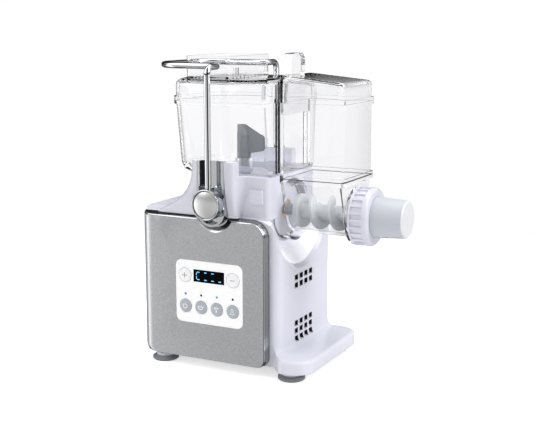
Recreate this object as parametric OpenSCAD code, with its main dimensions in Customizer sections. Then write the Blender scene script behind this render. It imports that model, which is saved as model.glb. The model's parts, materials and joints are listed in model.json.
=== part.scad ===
// Electric pasta maker: upright body, clear mixing bowl and lid under a wire bail,
// and a clear extrusion trough with an auger, a ring nut and a die cap.
// +X points to the die, +Y to the back, +Z up; the origin is the middle of the four feet on the table.

/* [Body] */
// Width of the upright body
body_w = 147; // [144:1:150]
// Middle of the upright body, left of the middle of the feet
body_shift = 15.5; // [14:0.5:17]
// Front wall, outside face, from the middle
front_reach = 57.5; // [56:0.5:60]
// Back wall, outside face, from the middle
back_reach = 66.5; // [65:0.5:70]
// Height of the parting line between housing and top cover
shoulder_z = 149; // [147:0.5:151]
// Lower edge of the body above the table
body_bottom = 9; // [8:0.5:11]
// Wall thickness of the mouldings
wall = 3; // [2.5:0.1:3.5]
// Radius of the body's upper right corner, seen from the front
right_corner_r = 22; // [18:1:25]
// Radius of the body's upper left corner, seen from the front
left_corner_r = 3; // [2:0.5:5]
// Radius of the body's upright edges
upright_r = 10; // [8:0.5:13]

/* [Foot plate] */
// How far the foot plate reaches past the right wall
foot_plate_reach = 34.5; // [32:0.5:38]
// Half of the foot plate's depth
foot_plate_half = 66; // [63:1:70]
// Height of the foot plate's upper face
foot_plate_top = 22; // [20:0.5:26]
// Corner radius of the foot plate
foot_plate_r = 20; // [18:1:24]
// Length of the curve in which the foot plate leaves the body's front
foot_curve = 18; // [14:0.5:24]
// Radius of the fillet between the right wall and the foot plate
foot_fillet_r = 8; // [5:0.5:10]

/* [Feet] */
// Distance between the feet along X
feet_dx = 140; // [134:1:146]
// Distance between the feet along Y
feet_dy = 98; // [92:1:102]
// Radius of a rubber foot
foot_r = 13; // [11:0.5:14]
// Height of a rubber foot
foot_h = 4.5; // [4:0.5:6]
// Radius of the neck that carries a foot
neck_r = 9; // [8:0.5:10]

/* [Vents] */
// Width of a vent slot
vent_w = 7; // [5:0.5:8]
// Height of a vent slot
vent_h = 5.6; // [4.5:0.1:6]
// Distance between vent slots along Y
vent_dy = 10.6; // [9.6:0.2:12]
// How far the vent fields sit behind the middle
vent_y = 1.5; // [0:0.5:3]
// Distance between vent rows
vent_dz = 7.7; // [7:0.1:8.5]
// Middle of the upper vent field
vent_upper_z = 85; // [80:1:88]
// Middle of the lower vent field
vent_lower_z = 35.6; // [35:0.2:40]

/* [Scoop and drum] */
// Height of the auger axis
auger_z = 152; // [151:0.5:154]
// Radius of the scoop in the right wall
scoop_r = 55.5; // [52:0.5:57]
// Radius of the drum that the trough plugs onto
drum_r = 31; // [30:0.5:33]
// Front of the drum, along X
drum_x = 40; // [38:0.5:42]

/* [Neck] */
// X of the mixing axis, which is also that of the bail's pivot
mix_x = -6.5; // [-8:0.5:-5]
// Height of the deck under the bowl
deck_z = 189; // [187:0.5:191]
// Left face of the pillars, left of the mixing axis
neck_left = 25; // [23:0.5:27]
// Right face of the pillars, right of the mixing axis
neck_right = 24; // [22:0.5:26]
// How far the neck flares to the left at the shoulder
neck_flare = 46; // [40:1:50]
// Front face of the pillars from the middle
pillar_reach = 66; // [65:0.5:67]
// Height of the pillars' tops
pillar_top = 203.5; // [201:0.5:206]
// Width of the cove between a pillar and the block, at its top
cove_w = 14; // [8:0.5:15]
// Right face of the block under the bowl, right of the mixing axis
block_right = 52.5; // [50:0.5:53]
// Half of the block's depth
block_half = 50; // [48:0.5:52]

/* [Front panel] */
// Thickness of the front panel
panel_t = 2.5; // [2:0.1:3]
// How far the panel's rim slopes in towards its face
rim_slope = 3; // [2.5:0.1:3.5]
// How far the panel's rim reaches back from its face
rim_back = 8; // [7:0.5:9]
// Wall of the panel's rim where it meets the body
rim_wall = 3.2; // [2.8:0.1:3.6]
// Radius of the panel's lower corners
panel_corner_r = 11; // [9:0.5:13]
// Radius with which the panel turns round the left edge
panel_turn_r = 14; // [10:0.5:16]
// Radius of the notch in the panel's top edge
notch_r = 22; // [20:0.5:23]
// Width of the slope round the notch
notch_slope = 5.5; // [4.5:0.5:6.5]
// White margin to the right of the panel
panel_margin = 9.2; // [8:0.2:10.5]

/* [Control panel] */
// Width of the control plate
plate_w = 73.5; // [72:0.5:76]
// Height of the control plate
plate_h = 61.5; // [60:0.5:64]
// Radius of the control plate's corners
plate_r = 6; // [4:0.5:7]
// Middle of the control plate along X
plate_x = -12.7; // [-14:0.1:-11]
// Middle of the control plate along Z
plate_z = 75.2; // [74:0.2:78]
// From the plate's side edges to the middle of the outer lower keys
key_margin = 10.65; // [10:0.05:11.4]
// From the plate's lower edge to the middle of the lower keys
key_rise = 15.95; // [15:0.05:17]
// Height of the indicator dots below the plate's middle
dot_drop = 2.8; // [2:0.1:3.4]
// From the plate's upper edge to the middle of the display
display_drop = 14.55; // [13.8:0.05:15.6]
// From the plate's side edges to the middle of the plus and minus keys
sign_margin = 10.35; // [10:0.05:10.5]
// Radius of a key
key_r = 6.5; // [6:0.1:6.7]
// Travel of a key
key_travel = 0.8; // [0.5:0.1:1]
// From the plate's side edges to the display window
display_margin = 19.75; // [19.3:0.05:21]
// Height of the display window
display_h = 12.2; // [11:0.2:13]

/* [Cord inlet] */
// Radius of the cord inlet's bore
gland_bore_r = 3.6; // [3:0.1:4]

/* [Bail] */
// Height of the bail's pivot
pivot_z = 163.8; // [162:0.2:166]
// Diameter of the bail's wire
wire_d = 6; // [5:0.2:6.4]
// Distance of a leg from the middle
leg_y = 69.6; // [69.4:0.2:72]
// Height of the middle of the bail's wire above the lid
bail_rise = 12.2; // [10:0.2:16]
// Distance of the loop's runs from the middle
loop_y = 47; // [46.6:0.1:49]
// How far the loop reaches left of the pivot
loop_reach = 73.5; // [66:0.5:80]
// Radius of the loop's two corners
loop_r = 28; // [20:1:34]
// Radius of the bends at the top of the legs
bend_r = 7; // [6:0.5:8]
// Radius of a knob
knob_r = 14.75; // [13.5:0.25:15.5]
// Thickness of a knob
knob_t = 9; // [8.6:0.2:11]
// Radius of the pivot pin
pin_r = 4; // [3:0.1:5]
// Half of the width inside the chromed guide
guide_half = 12.5; // [12:0.1:13]
// Wall of the chromed guide
guide_wall = 2.2; // [1.6:0.1:2.6]
// Height of the middle of the guide's round bottom
guide_z = 156.3; // [155:0.1:158]

/* [Bowl] */
// How far the bowl's rim reaches left of the mixing axis
bowl_left = 56; // [52:0.5:60]
// Half of the bowl's depth at its rim
bowl_half = 57; // [55:0.5:58]
// Height of the bowl's rim
rim_z = 258; // [254:0.5:262]
// How much smaller the bowl is at its floor
bowl_draft = 4.5; // [4:0.1:6]
// Corner radius of the bowl
bowl_r = 32; // [26:1:36]
// Wall of the clear mouldings
clear_wall = 2.4; // [2:0.1:2.8]
// Width of the rims where clear pieces meet
rim_w = 2; // [1.5:0.1:2.5]
// Thickness of each of those rims
rim_t = 3.4; // [3:0.1:4]
// Radius of the boss round the paddle's shaft
boss_r = 8.5; // [8:0.1:9.5]
// Height of that boss
boss_h = 11.5; // [10:0.5:13]

/* [Lid] */
// Height of the lid over the bowl
lid_h = 20.5; // [18:0.5:22]
// Height of the lid over the hopper, at the gate
hopper_lid_h = 24.5; // [22:0.5:26]
// How much the hopper's lid falls towards the die
hopper_lid_fall = 5; // [3:0.5:6]
// Length of the pouring funnel along X
funnel_l = 48; // [42:0.5:50]
// How far the funnel's right edge sits right of the mixing axis
funnel_shift = 6.5; // [2:0.5:8]
// Half of the funnel's depth
funnel_half = 43; // [38:0.5:43.3]
// Height of the funnel above the lid
funnel_h = 21.2; // [18:0.2:24]

/* [Gate] */
// How far the gate sits right of the mixing axis
gate_reach = 54.5; // [54:0.1:55]
// Thickness of the gate
gate_t = 2.8; // [2.4:0.1:3.2]
// Half of the gate's width
gate_half = 31; // [29:0.5:32]
// Travel of the gate
gate_travel = 52; // [40:1:56]
// Height of the gate's grip
grip_h = 20; // [16:0.5:24]
// Length of the grip along X
grip_l = 9; // [7:0.5:10]
// Width of the grip along Y
grip_w = 30; // [24:1:36]

/* [Hopper and trough] */
// Length of the hopper along X
hopper_l = 64.5; // [60:0.5:68]
// Half of the hopper's depth
hopper_half = 35; // [34:0.5:37]
// Height of the joint between hopper and trough
seam_z = 187; // [185:0.5:189]
// Radius of the trough's round bottom
trough_r = 25.8; // [25:0.2:27]
// Lowest point of the trough
trough_bottom = 131.5; // [130:0.2:132]
// Radius of the threaded neck
neck_thread_r = 22.5; // [22:0.1:23.5]
// Length of the threaded neck past the trough's end
neck_thread_l = 13; // [12:0.5:15]

/* [Auger] */
// Outer radius of the auger
auger_r = 16.6; // [15:0.1:16.8]
// Core radius of the auger
auger_core_r = 7.5; // [7:0.1:9]
// Pitch of the auger's flight
auger_pitch = 20; // [16:0.5:24]
// Thickness of the flight along the axis
flight_t = 4.2; // [3:0.1:5]

/* [Die] */
// Outer radius of the ring nut
nut_r = 27.7; // [27:0.1:29]
// Length of the ring nut
nut_l = 18.4; // [17.6:0.2:20]
// Radius of the nut's rounded outer edge
nut_round = 4.5; // [3.5:0.5:5]
// Width of each grip lug on the nut
lug_w = 2.9; // [2.5:0.1:3.5]
// Radius of the die cap at the nut
cap_r = 19.3; // [18.4:0.1:19.6]
// Radius of the die cap at its end
cap_end_r = 17.6; // [16.5:0.1:18.2]
// How far the die cap stands out of the nut
cap_out = 31; // [26:0.5:34]
// Radius of an outlet
outlet_r = 1.6; // [1:0.1:1.8]
// Number of outlets along the cap
outlet_count = 6; // [4:1:6]

/* [Drives] */
// Radius of the paddle's shaft
shaft_r = 5; // [4:0.25:5.25]
// Module of all gears
gear_module = 1.25; // [1.2:0.05:1.25]
// Teeth of the kneading gear
knead_teeth = 56; // [50:1:58]
// Teeth of the auger gear
auger_teeth = 36; // [33:1:37]
// Teeth of both pinions
pinion_teeth = 16; // [15:1:17]
// Face width of the gears
gear_t = 8; // [6:0.5:9]
// Radius of the kneading motor
knead_motor_r = 27; // [24:0.5:28]
// Length of the kneading motor
knead_motor_l = 54; // [44:1:56]
// Radius of the auger motor
auger_motor_r = 16.5; // [14:0.5:17]
// Length of the auger motor
auger_motor_l = 50; // [40:1:54]
// Height of the auger motor's axis
auger_motor_z = 130; // [129:0.5:131]
// Radius of a motor's shaft
motor_shaft_r = 3; // [2.5:0.1:3.5]

/* [Clearances] */
// Gap between parts that are fitted together
fit = 0.3; // [0.2:0.05:0.4]
// Radial clearance of a running shaft
running = 0.05; // [0.03:0.01:0.08]
// Backlash of the gears
backlash = 0.2; // [0.15:0.01:0.25]

/* [Hidden] */
$fn = 64;
body_l = -body_shift - body_w / 2;
body_r = -body_shift + body_w / 2;
foot_plate_r_x = body_r + foot_plate_reach;
panel_y = -front_reach - panel_t;
// Front plane of the body beside and above the panel
step_y = panel_y + rim_back;
floor_z = body_bottom + wall;
pin_y = pillar_reach - 8.5;
knob_in = pillar_reach + 0.6;
knob_out = knob_in + knob_t;
gate_x = mix_x + gate_reach;
bowl_right = gate_x - 2;
hopper_x = gate_x + 2;
hopper_end = hopper_x + hopper_l;
lid_z = rim_z + fit;
lid_top = lid_z + lid_h;
funnel_top = lid_top + funnel_h;
bail_top = lid_top + bail_rise;
trough_x = hopper_x + 1;
trough_end = hopper_end - 1.5;
trough_z = trough_bottom + trough_r;
neck_end = trough_end + neck_thread_l;
nut_x = trough_end + 3;
nut_end = nut_x + nut_l;
die_flange_t = 3;
nut_web_t = nut_end - neck_end - die_flange_t - 2 * fit;
cap_end = nut_end + cap_out;
knead_centre = gear_module * (knead_teeth + pinion_teeth) / 2;
auger_centre = gear_module * (auger_teeth + pinion_teeth) / 2;
auger_drop = auger_z - auger_motor_z;
auger_motor_y = sqrt(auger_centre * auger_centre - auger_drop * auger_drop);
knead_gear_z = floor_z + 16;
gear_plate_z = knead_gear_z + gear_t + 4;
gear_plate_t = 2.5;
knead_motor_z = gear_plate_z + gear_plate_t;
knead_motor_top = knead_motor_z + knead_motor_l;
auger_gear_x = mix_x + 20.5;
bracket_x = auger_gear_x - 5;
bracket_t = 3;
board_y = -front_reach + wall + 8.5;
board_t = 1.6;
plate_back = -front_reach;
plate_front = panel_y - 0.3;
key_pitch = (plate_w - 2 * key_margin) / 3;
key_drop = plate_h / 2 - key_rise;
display_rise = plate_h / 2 - display_drop;
display_w = plate_w - 2 * display_margin;
sign_dx = plate_w / 2 - sign_margin;
key_flange_t = 1.2;
hole_gap = 0.35;

// ---- shapes that repeat ----

function arc(c, r, a0, a1, n = 8) =
    [for (i = [0:n]) let (a = a0 + (a1 - a0) * i / n) [c[0] + r * cos(a), c[1] + r * sin(a)]];

// Rectangle with its own radius at each corner: lower left, lower right, upper right, upper left
function round_rect(x0, y0, x1, y1, r) = concat(
    arc([x0 + r[0], y0 + r[0]], r[0], 180, 270),
    arc([x1 - r[1], y0 + r[1]], r[1], 270, 360),
    arc([x1 - r[2], y1 - r[2]], r[2], 0, 90),
    arc([x0 + r[3], y1 - r[3]], r[3], 90, 180));

module block(a, b) { translate(a) cube(b - a); }
module rod_x(x0, x1, r, y = 0, z = auger_z) {
    translate([x0, y, z]) rotate([0, 90, 0]) cylinder(h = x1 - x0, r = r);
}
module rod_y(y0, y1, r, x, z) {
    translate([x, y0, z]) rotate([-90, 0, 0]) cylinder(h = y1 - y0, r = r);
}
module rod_z(z0, z1, r, x = mix_x, y = 0) {
    translate([x, y, z0]) cylinder(h = z1 - z0, r = r);
}
// A profile in X and Z, carried along Y
module along_y(y0, y1) { translate([0, y1, 0]) rotate([90, 0, 0]) linear_extrude(y1 - y0) children(); }
// A profile in Y and Z, carried along X
module along_x(x0, x1) { translate([x0, 0, 0]) rotate([90, 0, 90]) linear_extrude(x1 - x0) children(); }
module slab(z, t, pts) { translate([0, 0, z]) linear_extrude(t) polygon(pts); }
// Skin through level outlines that all have the same number of points; zs are their heights
module skin(zs, outlines) {
    n = len(outlines[0]);
    top = len(zs) - 1;
    polyhedron(
        points = [for (k = [0:top]) each [for (p = outlines[k]) [p[0], p[1], zs[k]]]],
        faces = concat(
            [[for (i = [0:n - 1]) i]],
            [[for (i = [n - 1:-1:0]) top * n + i]],
            [for (k = [0:top - 1], i = [0:n - 1]) each let (j = (i + 1) % n)
                [[k * n + i, (k + 1) * n + i, (k + 1) * n + j], [k * n + i, (k + 1) * n + j, k * n + j]]]));
}
module front_and_rear() {
    children();
    mirror([0, 1, 0]) children();
}

// Involute spur gear about Z, with a tooth on +X
function inv_deg(a) = tan(a) * 180 / PI - a;
function flank(r, rb, half) = half - inv_deg(acos(rb / r));
function tooth(turn, rb, rr, ro, half, step) =
    let (r0 = max(rb, rr + 0.1), foot = min(flank(r0, rb, half) + 0.08 * step, 0.46 * step))
    concat(
        [[rr, turn - foot]],
        [for (i = [0:3]) let (r = r0 + (ro - r0) * i / 3) [r, turn - flank(r, rb, half)]],
        [for (i = [3:-1:0]) let (r = r0 + (ro - r0) * i / 3) [r, turn + flank(r, rb, half)]],
        [[rr, turn + foot]]);
module spur_gear(teeth, t) {
    pressure = 25;
    rp = gear_module * teeth / 2;
    rb = rp * cos(pressure);
    half = 90 / teeth - backlash / 4 / rp * 180 / PI + inv_deg(pressure);
    pts = [for (k = [0:teeth - 1])
        each tooth(k * 360 / teeth, rb, rp - 1.2 * gear_module, rp + 0.95 * gear_module, half, 360 / teeth)];
    linear_extrude(t) polygon([for (p = pts) [p[0] * cos(p[1]), p[0] * sin(p[1])]]);
}

// ---- body ----

module body_plan(i = 0) {
    r = upright_r - i;
    polygon(round_rect(body_l + i, -front_reach + i, body_r - i, back_reach - i, [r, 1, r, r]));
}
// Outline of the raised field that the front panel covers, and of the tab behind the bail's guide
module field_outline(i = 0) {
    r = right_corner_r - panel_corner_inset - rim_wall - i;
    polygon(round_rect(body_l - 20, panel_z0 - abs(i), panel_x1 - rim_wall - i, panel_z1 - rim_wall - i,
        [1, panel_corner_r - rim_wall - i, r, 1]));
    translate([mix_x - tab_half + i, shoulder_z - 20]) square([2 * (tab_half - i), 20]);
}
// Step in the body's front round that field, which takes the panel's rim
module rim_step(i = 0) {
    along_y(-front_reach - 1, step_y + i) difference() {
        translate([body_l - 30, 0]) square([body_r - body_l + 31, shoulder_z + 20]);
        field_outline(i);
    }
}
module front_corner(i = 0) {
    translate([0, 0, body_bottom - 2]) linear_extrude(shoulder_z) difference() {
        translate([body_r - corner_r, step_y - 1]) square(corner_r + 1);
        translate([body_r - corner_r, step_y + corner_r]) circle(corner_r - i);
    }
}
module body_elevation(i = 0) {
    polygon(round_rect(body_l + i, body_bottom - 1, body_r - i, shoulder_z - i,
        [1, 1, right_corner_r - i, left_corner_r - i]));
}
// Plan of the foot plate outside the body, and the part of it under the body
function foot_plate_outline(i) =
    let (r = foot_plate_r - i, y = foot_plate_half - i, x = foot_plate_r_x - foot_plate_r,
        x0 = panel_x1 + 1, bulge = foot_plate_half + step_y)
    concat(
        [for (k = [0:8]) let (t = k / 8) [x0 + foot_curve * t, -y + bulge * (1 + cos(180 * t)) / 2]],
        arc([x, -y + r], r, 278, 360, 9),
        arc([x, y - r], r, 0, 90, 9),
        [[body_r - 1, y]]);
module foot_plate_plan(i = 0) { polygon(foot_plate_outline(i)); }
module under_body_plan(i = 0) {
    under = 30;
    translate([body_r - under, step_y + 4 + i]) square([under - 1, foot_plate_half - step_y - 4 - 2 * i]);
}
// The scoop as a dish about the auger axis, i thicker all round
module scoop(i = 0) {
    depth = body_r - drum_x + 10;
    mouth = scoop_r + i;
    root = drum_r + fit + i;
    translate([drum_x - 10, 0, auger_z]) rotate([0, 90, 0]) rotate_extrude()
        polygon(concat([[0, 0]], [for (k = [0:8]) let (t = k / 8)
            [root + (mouth - root) * pow(t, 1.25), depth * t]], [[mouth, depth + 5], [0, depth + 5]]));
}
module foot_plate_solid(i = 0) {
    round_r = 3.5;
    steps = [for (a = [0:18:90]) a];
    skin(concat([body_bottom - 1], [for (a = steps) foot_plate_top - i - round_r * (1 - sin(a))]),
        concat([foot_plate_outline(i)], [for (a = steps) foot_plate_outline(i + round_r * (1 - cos(a)))]));
    translate([0, 0, body_bottom - 1])
        linear_extrude(foot_plate_top - i - body_bottom + 1) under_body_plan(i);
}
module body_solid(i = 0) {
    intersection() {
        translate([0, 0, body_bottom - 1]) linear_extrude(shoulder_z - body_bottom + 1) body_plan(i);
        along_y(-front_reach - 1, back_reach + 1) body_elevation(i);
    }
}
// The body with the step for the panel's rim
module stepped_body(i = 0) {
    difference() {
        body_solid(i);
        rim_step(i);
        front_corner(i);
    }
}
// Plan of the fillet round the body's right wall, d outside it
function fillet_outline(d) = concat([[panel_x1 + 0.5, step_y - d]],
    arc([body_r - corner_r, step_y + corner_r], corner_r + d, 270, 360, 6),
    [[body_r + d, foot_plate_half - 6], [panel_x1 + 0.5, foot_plate_half - 6]]);
// Concave fillet from the right wall and its front corner down to the foot plate
module foot_fillet() {
    r = foot_fillet_r;
    turns = [for (a = [90:-11.25:0]) a];
    intersection() {
        translate([0, 0, foot_plate_top - 5]) linear_extrude(r + 6) offset(delta = -0.9) foot_plate_plan();
        skin(concat([foot_plate_top - 4], [for (a = turns) foot_plate_top + r - r * sin(a)]),
            concat([fillet_outline(r)], [for (a = turns) fillet_outline(r - r * cos(a))]));
    }
}
module vent_field(z, rows) {
    for (row = [0:rows - 1], col = [-1.5:1:1.5])
        translate([body_r - wall - 2, vent_y + col * vent_dy - vent_w / 2,
            z + (row - (rows - 1) / 2) * vent_dz - vent_h / 2]) cube([wall + 16, vent_w, vent_h]);
}
post_xy = [[body_l + 7, 0], [mix_x - 8, -front_reach + 7], [mix_x - 8, back_reach - 7], [body_r - 7, 36]];
post_top = floor_z + 20;
board_dx = plate_w / 2 - 3;
board_dz = plate_h / 2 - 3.4;
board_posts = [for (x = [-board_dx, board_dx], z = [-board_dz, board_dz]) [plate_x + x, plate_z + z]];
power_x0 = body_l + 16;
power_x1 = body_r - 18;
power_z0 = post_top + 12;
power_z1 = power_z0 + 52;
power_y = back_reach - wall - 5.5;
power_posts = [for (x = [power_x0 + 4, power_x1 - 4], z = [power_z0 + 4, power_z1 - 4]) [x, z]];
keys_x = [for (k = [-1.5:1:1.5]) plate_x + k * key_pitch];
key_z = plate_z - key_drop;
sign_z = plate_z + display_rise - 0.5;
key_places = concat([for (x = keys_x) [x, key_z]], [for (s = [-1, 1]) [plate_x + s * sign_dx, sign_z]]);
gland_x = body_l + 40;
gland_z = 34;
gland_r = 7;
module display_opening(w, h, y0, y1) {
    block([plate_x - w / 2, y0, plate_z + display_rise - h / 2],
        [plate_x + w / 2, y1, plate_z + display_rise + h / 2]);
}
// Pocket that takes the rear guide below the parting line
module rear_pocket(i = 0) {
    rod_y(pin_y - i, back_reach + (i > 0 ? 0 : 1), knob_r + 2 + i, mix_x, guide_z);
}

module housing() {
    color("#eef0f4") difference() {
        union() {
            difference() {
                union() {
                    stepped_body();
                    foot_plate_solid();
                    foot_fillet();
                }
                difference() {
                    union() {
                        stepped_body(wall);
                        foot_plate_solid(wall);
                    }
                    scoop(wall);
                }
                block([body_l + left_corner_r, step_y + wall, shoulder_z - wall - 4],
                    [body_r - right_corner_r, back_reach - wall, shoulder_z + 1]);
            }
            intersection() {
                rear_pocket(wall);
                block([body_l, pin_y - wall, body_bottom], [body_r, back_reach - 1, shoulder_z]);
            }
            for (p = post_xy) rod_z(floor_z, post_top, 5, p[0], p[1]);
            for (p = board_posts) rod_y(-front_reach + wall / 2, board_y, 3, p[0], p[1]);
            for (p = power_posts) rod_y(power_y + board_t, back_reach - wall / 2, 3, p[0], p[1]);
        }
        translate([0, 0, body_bottom - 20]) linear_extrude(20) square(400, center = true);
        scoop();
        rear_pocket();
        vent_field(vent_upper_z, 2);
        vent_field(vent_lower_z, 3);
        for (p = key_places) rod_y(-front_reach - 1, -front_reach + wall + 1, key_r + 1.4, p[0], p[1]);
        for (x = keys_x) rod_y(-front_reach - 1, -front_reach + wall + 1, 2.4, x, plate_z - dot_drop);
        display_opening(display_w - 1, display_h + 2, -front_reach - 1, -front_reach + wall + 1);
        for (p = post_xy) rod_z(floor_z - 1, post_top - 3, 1.6, p[0], p[1]);
        rod_y(back_reach - wall - 1, back_reach + 1, gland_r, gland_x, gland_z);
    }
}

// ---- top cover ----

neck_x1 = mix_x + neck_right;
function neck_t(z) = (z - shoulder_z - 1) / (pillar_top - shoulder_z - 1);
function neck_x0(z) = mix_x - neck_left - neck_flare * pow(1 - neck_t(z), 3);
function neck_half(z) = pillar_reach - (pillar_reach - front_reach) * pow(1 - neck_t(z), 3);
neck_levels = [for (t = [0, 0.05, 0.1, 0.15, 0.21, 0.28, 0.36, 0.45, 0.56, 0.7, 0.85, 1])
    shoulder_z + 1 + t * (pillar_top - shoulder_z - 1)];
function neck_outline(z) = round_rect(neck_x0(z), -neck_half(z), neck_x1, neck_half(z), [13, 3, 3, 13]);
shoulder_rise = 8;
module shoulder() {
    x0 = body_l + left_corner_r;
    x1 = body_r - right_corner_r;
    edge = 2.4;
    intersection() {
        translate([0, 0, shoulder_z]) linear_extrude(20) body_plan();
        along_y(-front_reach - 1, back_reach + 1) polygon(concat(
            [[x1, shoulder_z], [body_l, shoulder_z]],
            arc([x0, shoulder_z + edge], left_corner_r, 180, 90, 4),
            [for (k = [1:8]) let (t = k / 8) [x0 + 30 * t, shoulder_z + edge + left_corner_r
                + (shoulder_rise - edge - left_corner_r) * sin(90 * t)]],
            [for (k = [8:-1:1]) [x1 - 14 * k / 8, shoulder_z + shoulder_rise * sin(90 * k / 8)]]));
        along_x(body_l, body_r) polygon(concat(
            [[back_reach, shoulder_z], [step_y, shoulder_z]],
            [for (k = [1:8]) [step_y + 20 * k / 8, shoulder_z + 1 + shoulder_rise * sin(90 * k / 8)]],
            [for (k = [8:-1:1])
                [back_reach - 20 * k / 8, shoulder_z + 1 + shoulder_rise * sin(90 * k / 8)]]));
    }
}
// Upright round-bottomed outline of the chromed guide
module guide_outline(r, top) {
    translate([mix_x, guide_z]) circle(r);
    translate([mix_x - r, guide_z]) square([2 * r, top - guide_z]);
}
block_x1 = mix_x + block_right;
// Concave fillet between a pillar and the block, narrower towards the shoulder
module cove() {
    foot = 0.25;
    translate([neck_x1 - 0.1, -block_half + 0.1, shoulder_z + 4])
        linear_extrude(deck_z - shoulder_z - 4, scale = 1 / foot)
            scale(foot) polygon(concat([[0, 0]], arc([cove_w, -cove_w], cove_w, 90, 180)));
}
bush_r = shaft_r + 4;
module top_cover() {
    color("#f1f3f8") difference() {
        union() {
            skin(neck_levels, [for (z = neck_levels) neck_outline(z)]);
            shoulder();
            translate([0, 0, shoulder_z]) linear_extrude(deck_z - shoulder_z)
                polygon(round_rect(mix_x, -block_half, block_x1, block_half, [0.1, 4, 4, 0.1]));
            front_and_rear() cove();
            rod_x(drum_x - 12, drum_x, drum_r);
        }
        // Hollow for the drives
        block([mix_x - neck_left + wall, -block_half + wall + 1, shoulder_z - 1],
            [drum_x - 12, block_half - wall - 1, deck_z - wall]);
        block([body_l + 26, step_y + wall + 4, shoulder_z - 1],
            [drum_x - 12, back_reach - wall - 4, shoulder_z + 3]);
        // Room for the bowl between the pillars
        block([mix_x - 90, -bowl_half + 2.7, deck_z], [mix_x + 90, bowl_half - 2.7, pillar_top + 1]);
        front_and_rear() {
            along_y(-pillar_reach - 20, -pin_y)
                guide_outline(guide_half + guide_wall + fit / 2, pillar_top + 5);
            rod_y(-pin_y - 1, -pin_y + 20, pin_r + running, mix_x, pivot_z);
        }
        rear_pocket();
        rod_z(deck_z - wall - 1, deck_z + 1, bush_r + fit / 2);
        // Seat of the auger's bush, and the round opening that takes the trough's spigot
        rod_x(drum_x - 13, drum_x + 1, bush_r + fit / 2);
        rod_x(drum_x, block_x1 + 1, drum_r + fit);
    }
}

module catch() {
    along_y(-block_half - 3, -block_half)
        polygon(round_rect(block_x1 - 18, deck_z - 25, block_x1 - 5, deck_z - 11.5, [1, 1, 1, 1]));
}
module container_catches() {
    color("#f4f6fb") front_and_rear() catch();
}

// ---- base ----

feet_xy = [for (x = [-feet_dx / 2, feet_dx / 2], y = [-feet_dy / 2, feet_dy / 2]) [x, y]];
plate_posts = [[body_l + 12, -34], [body_l + 12, 34], [mix_x + 42, -28], [mix_x + 42, 28]];
module base_plate() {
    color("#e9ebef") difference() {
        union() {
            intersection() {
                translate([0, 0, body_bottom]) linear_extrude(wall) union() {
                    difference() {
                        body_plan(wall + fit);
                        translate([panel_x1 - panel_corner_r - wall - fit, -front_reach])
                            square([60, step_y + front_reach + corner_r + wall]);
                    }
                    foot_plate_plan(wall + fit);
                    under_body_plan(wall + fit);
                }
                block([-200, -100, 0], [200, 100, floor_z]);
            }
            for (p = feet_xy) {
                rod_z(foot_h, body_bottom - 1 - fit, neck_r, p[0], p[1]);
                rod_z(foot_h, floor_z + 1, 5, p[0], p[1]);
            }
            for (p = plate_posts) rod_z(floor_z - 1, gear_plate_z, 4, p[0], p[1]);
            rod_z(floor_z - 1, floor_z + 8, bush_r + 3);
        }
        for (p = feet_xy) rod_z(foot_h - 1, floor_z, 1.7, p[0], p[1]);
        for (p = post_xy) {
            rod_z(body_bottom - 1, floor_z + 1, 2, p[0], p[1]);
            rod_z(body_bottom - 1, body_bottom + 1.6, 3.7, p[0], p[1]);
        }
        rod_z(floor_z, floor_z + 9, bush_r + fit / 2);
    }
}
module rubber_feet() {
    color("#8e9396") for (p = feet_xy) difference() {
        translate([p[0], p[1], 0]) rotate_extrude() polygon([[4.5, 0], [foot_r - 1.2, 0], [foot_r, 1],
            [foot_r, foot_h - 1.5], [foot_r - 2.5, foot_h], [1.7, foot_h], [1.7, 2.5], [4.5, 2.5]]);
    }
}
module foot_screws() {
    color("#b9bcc0") for (p = feet_xy) {
        rod_z(1, 2.5, 3.6, p[0], p[1]);
        rod_z(2.4, floor_z, 1.65, p[0], p[1]);
    }
}
module base_screws() {
    color("#b9bcc0") for (p = post_xy) {
        rod_z(body_bottom + 0.2, body_bottom + 1.6, 3.4, p[0], p[1]);
        rod_z(body_bottom + 1.5, post_top - 4, 1.55, p[0], p[1]);
    }
}

// ---- front panel and controls ----

panel_x0 = body_l - panel_t;
panel_x1 = body_r - panel_margin;
panel_z0 = body_bottom - 1;
panel_z1 = shoulder_z + 0.8;
panel_corner_inset = 5;
corner_r = 8;
tab_half = guide_half;
// How far the panel's outline lies inside its rim at a depth behind its face
function rim_inset(depth) = rim_slope * lookup(depth, [[0, 1], [0.3, 0.78], [1, 0.64], [rim_back, 0]]);
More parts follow.
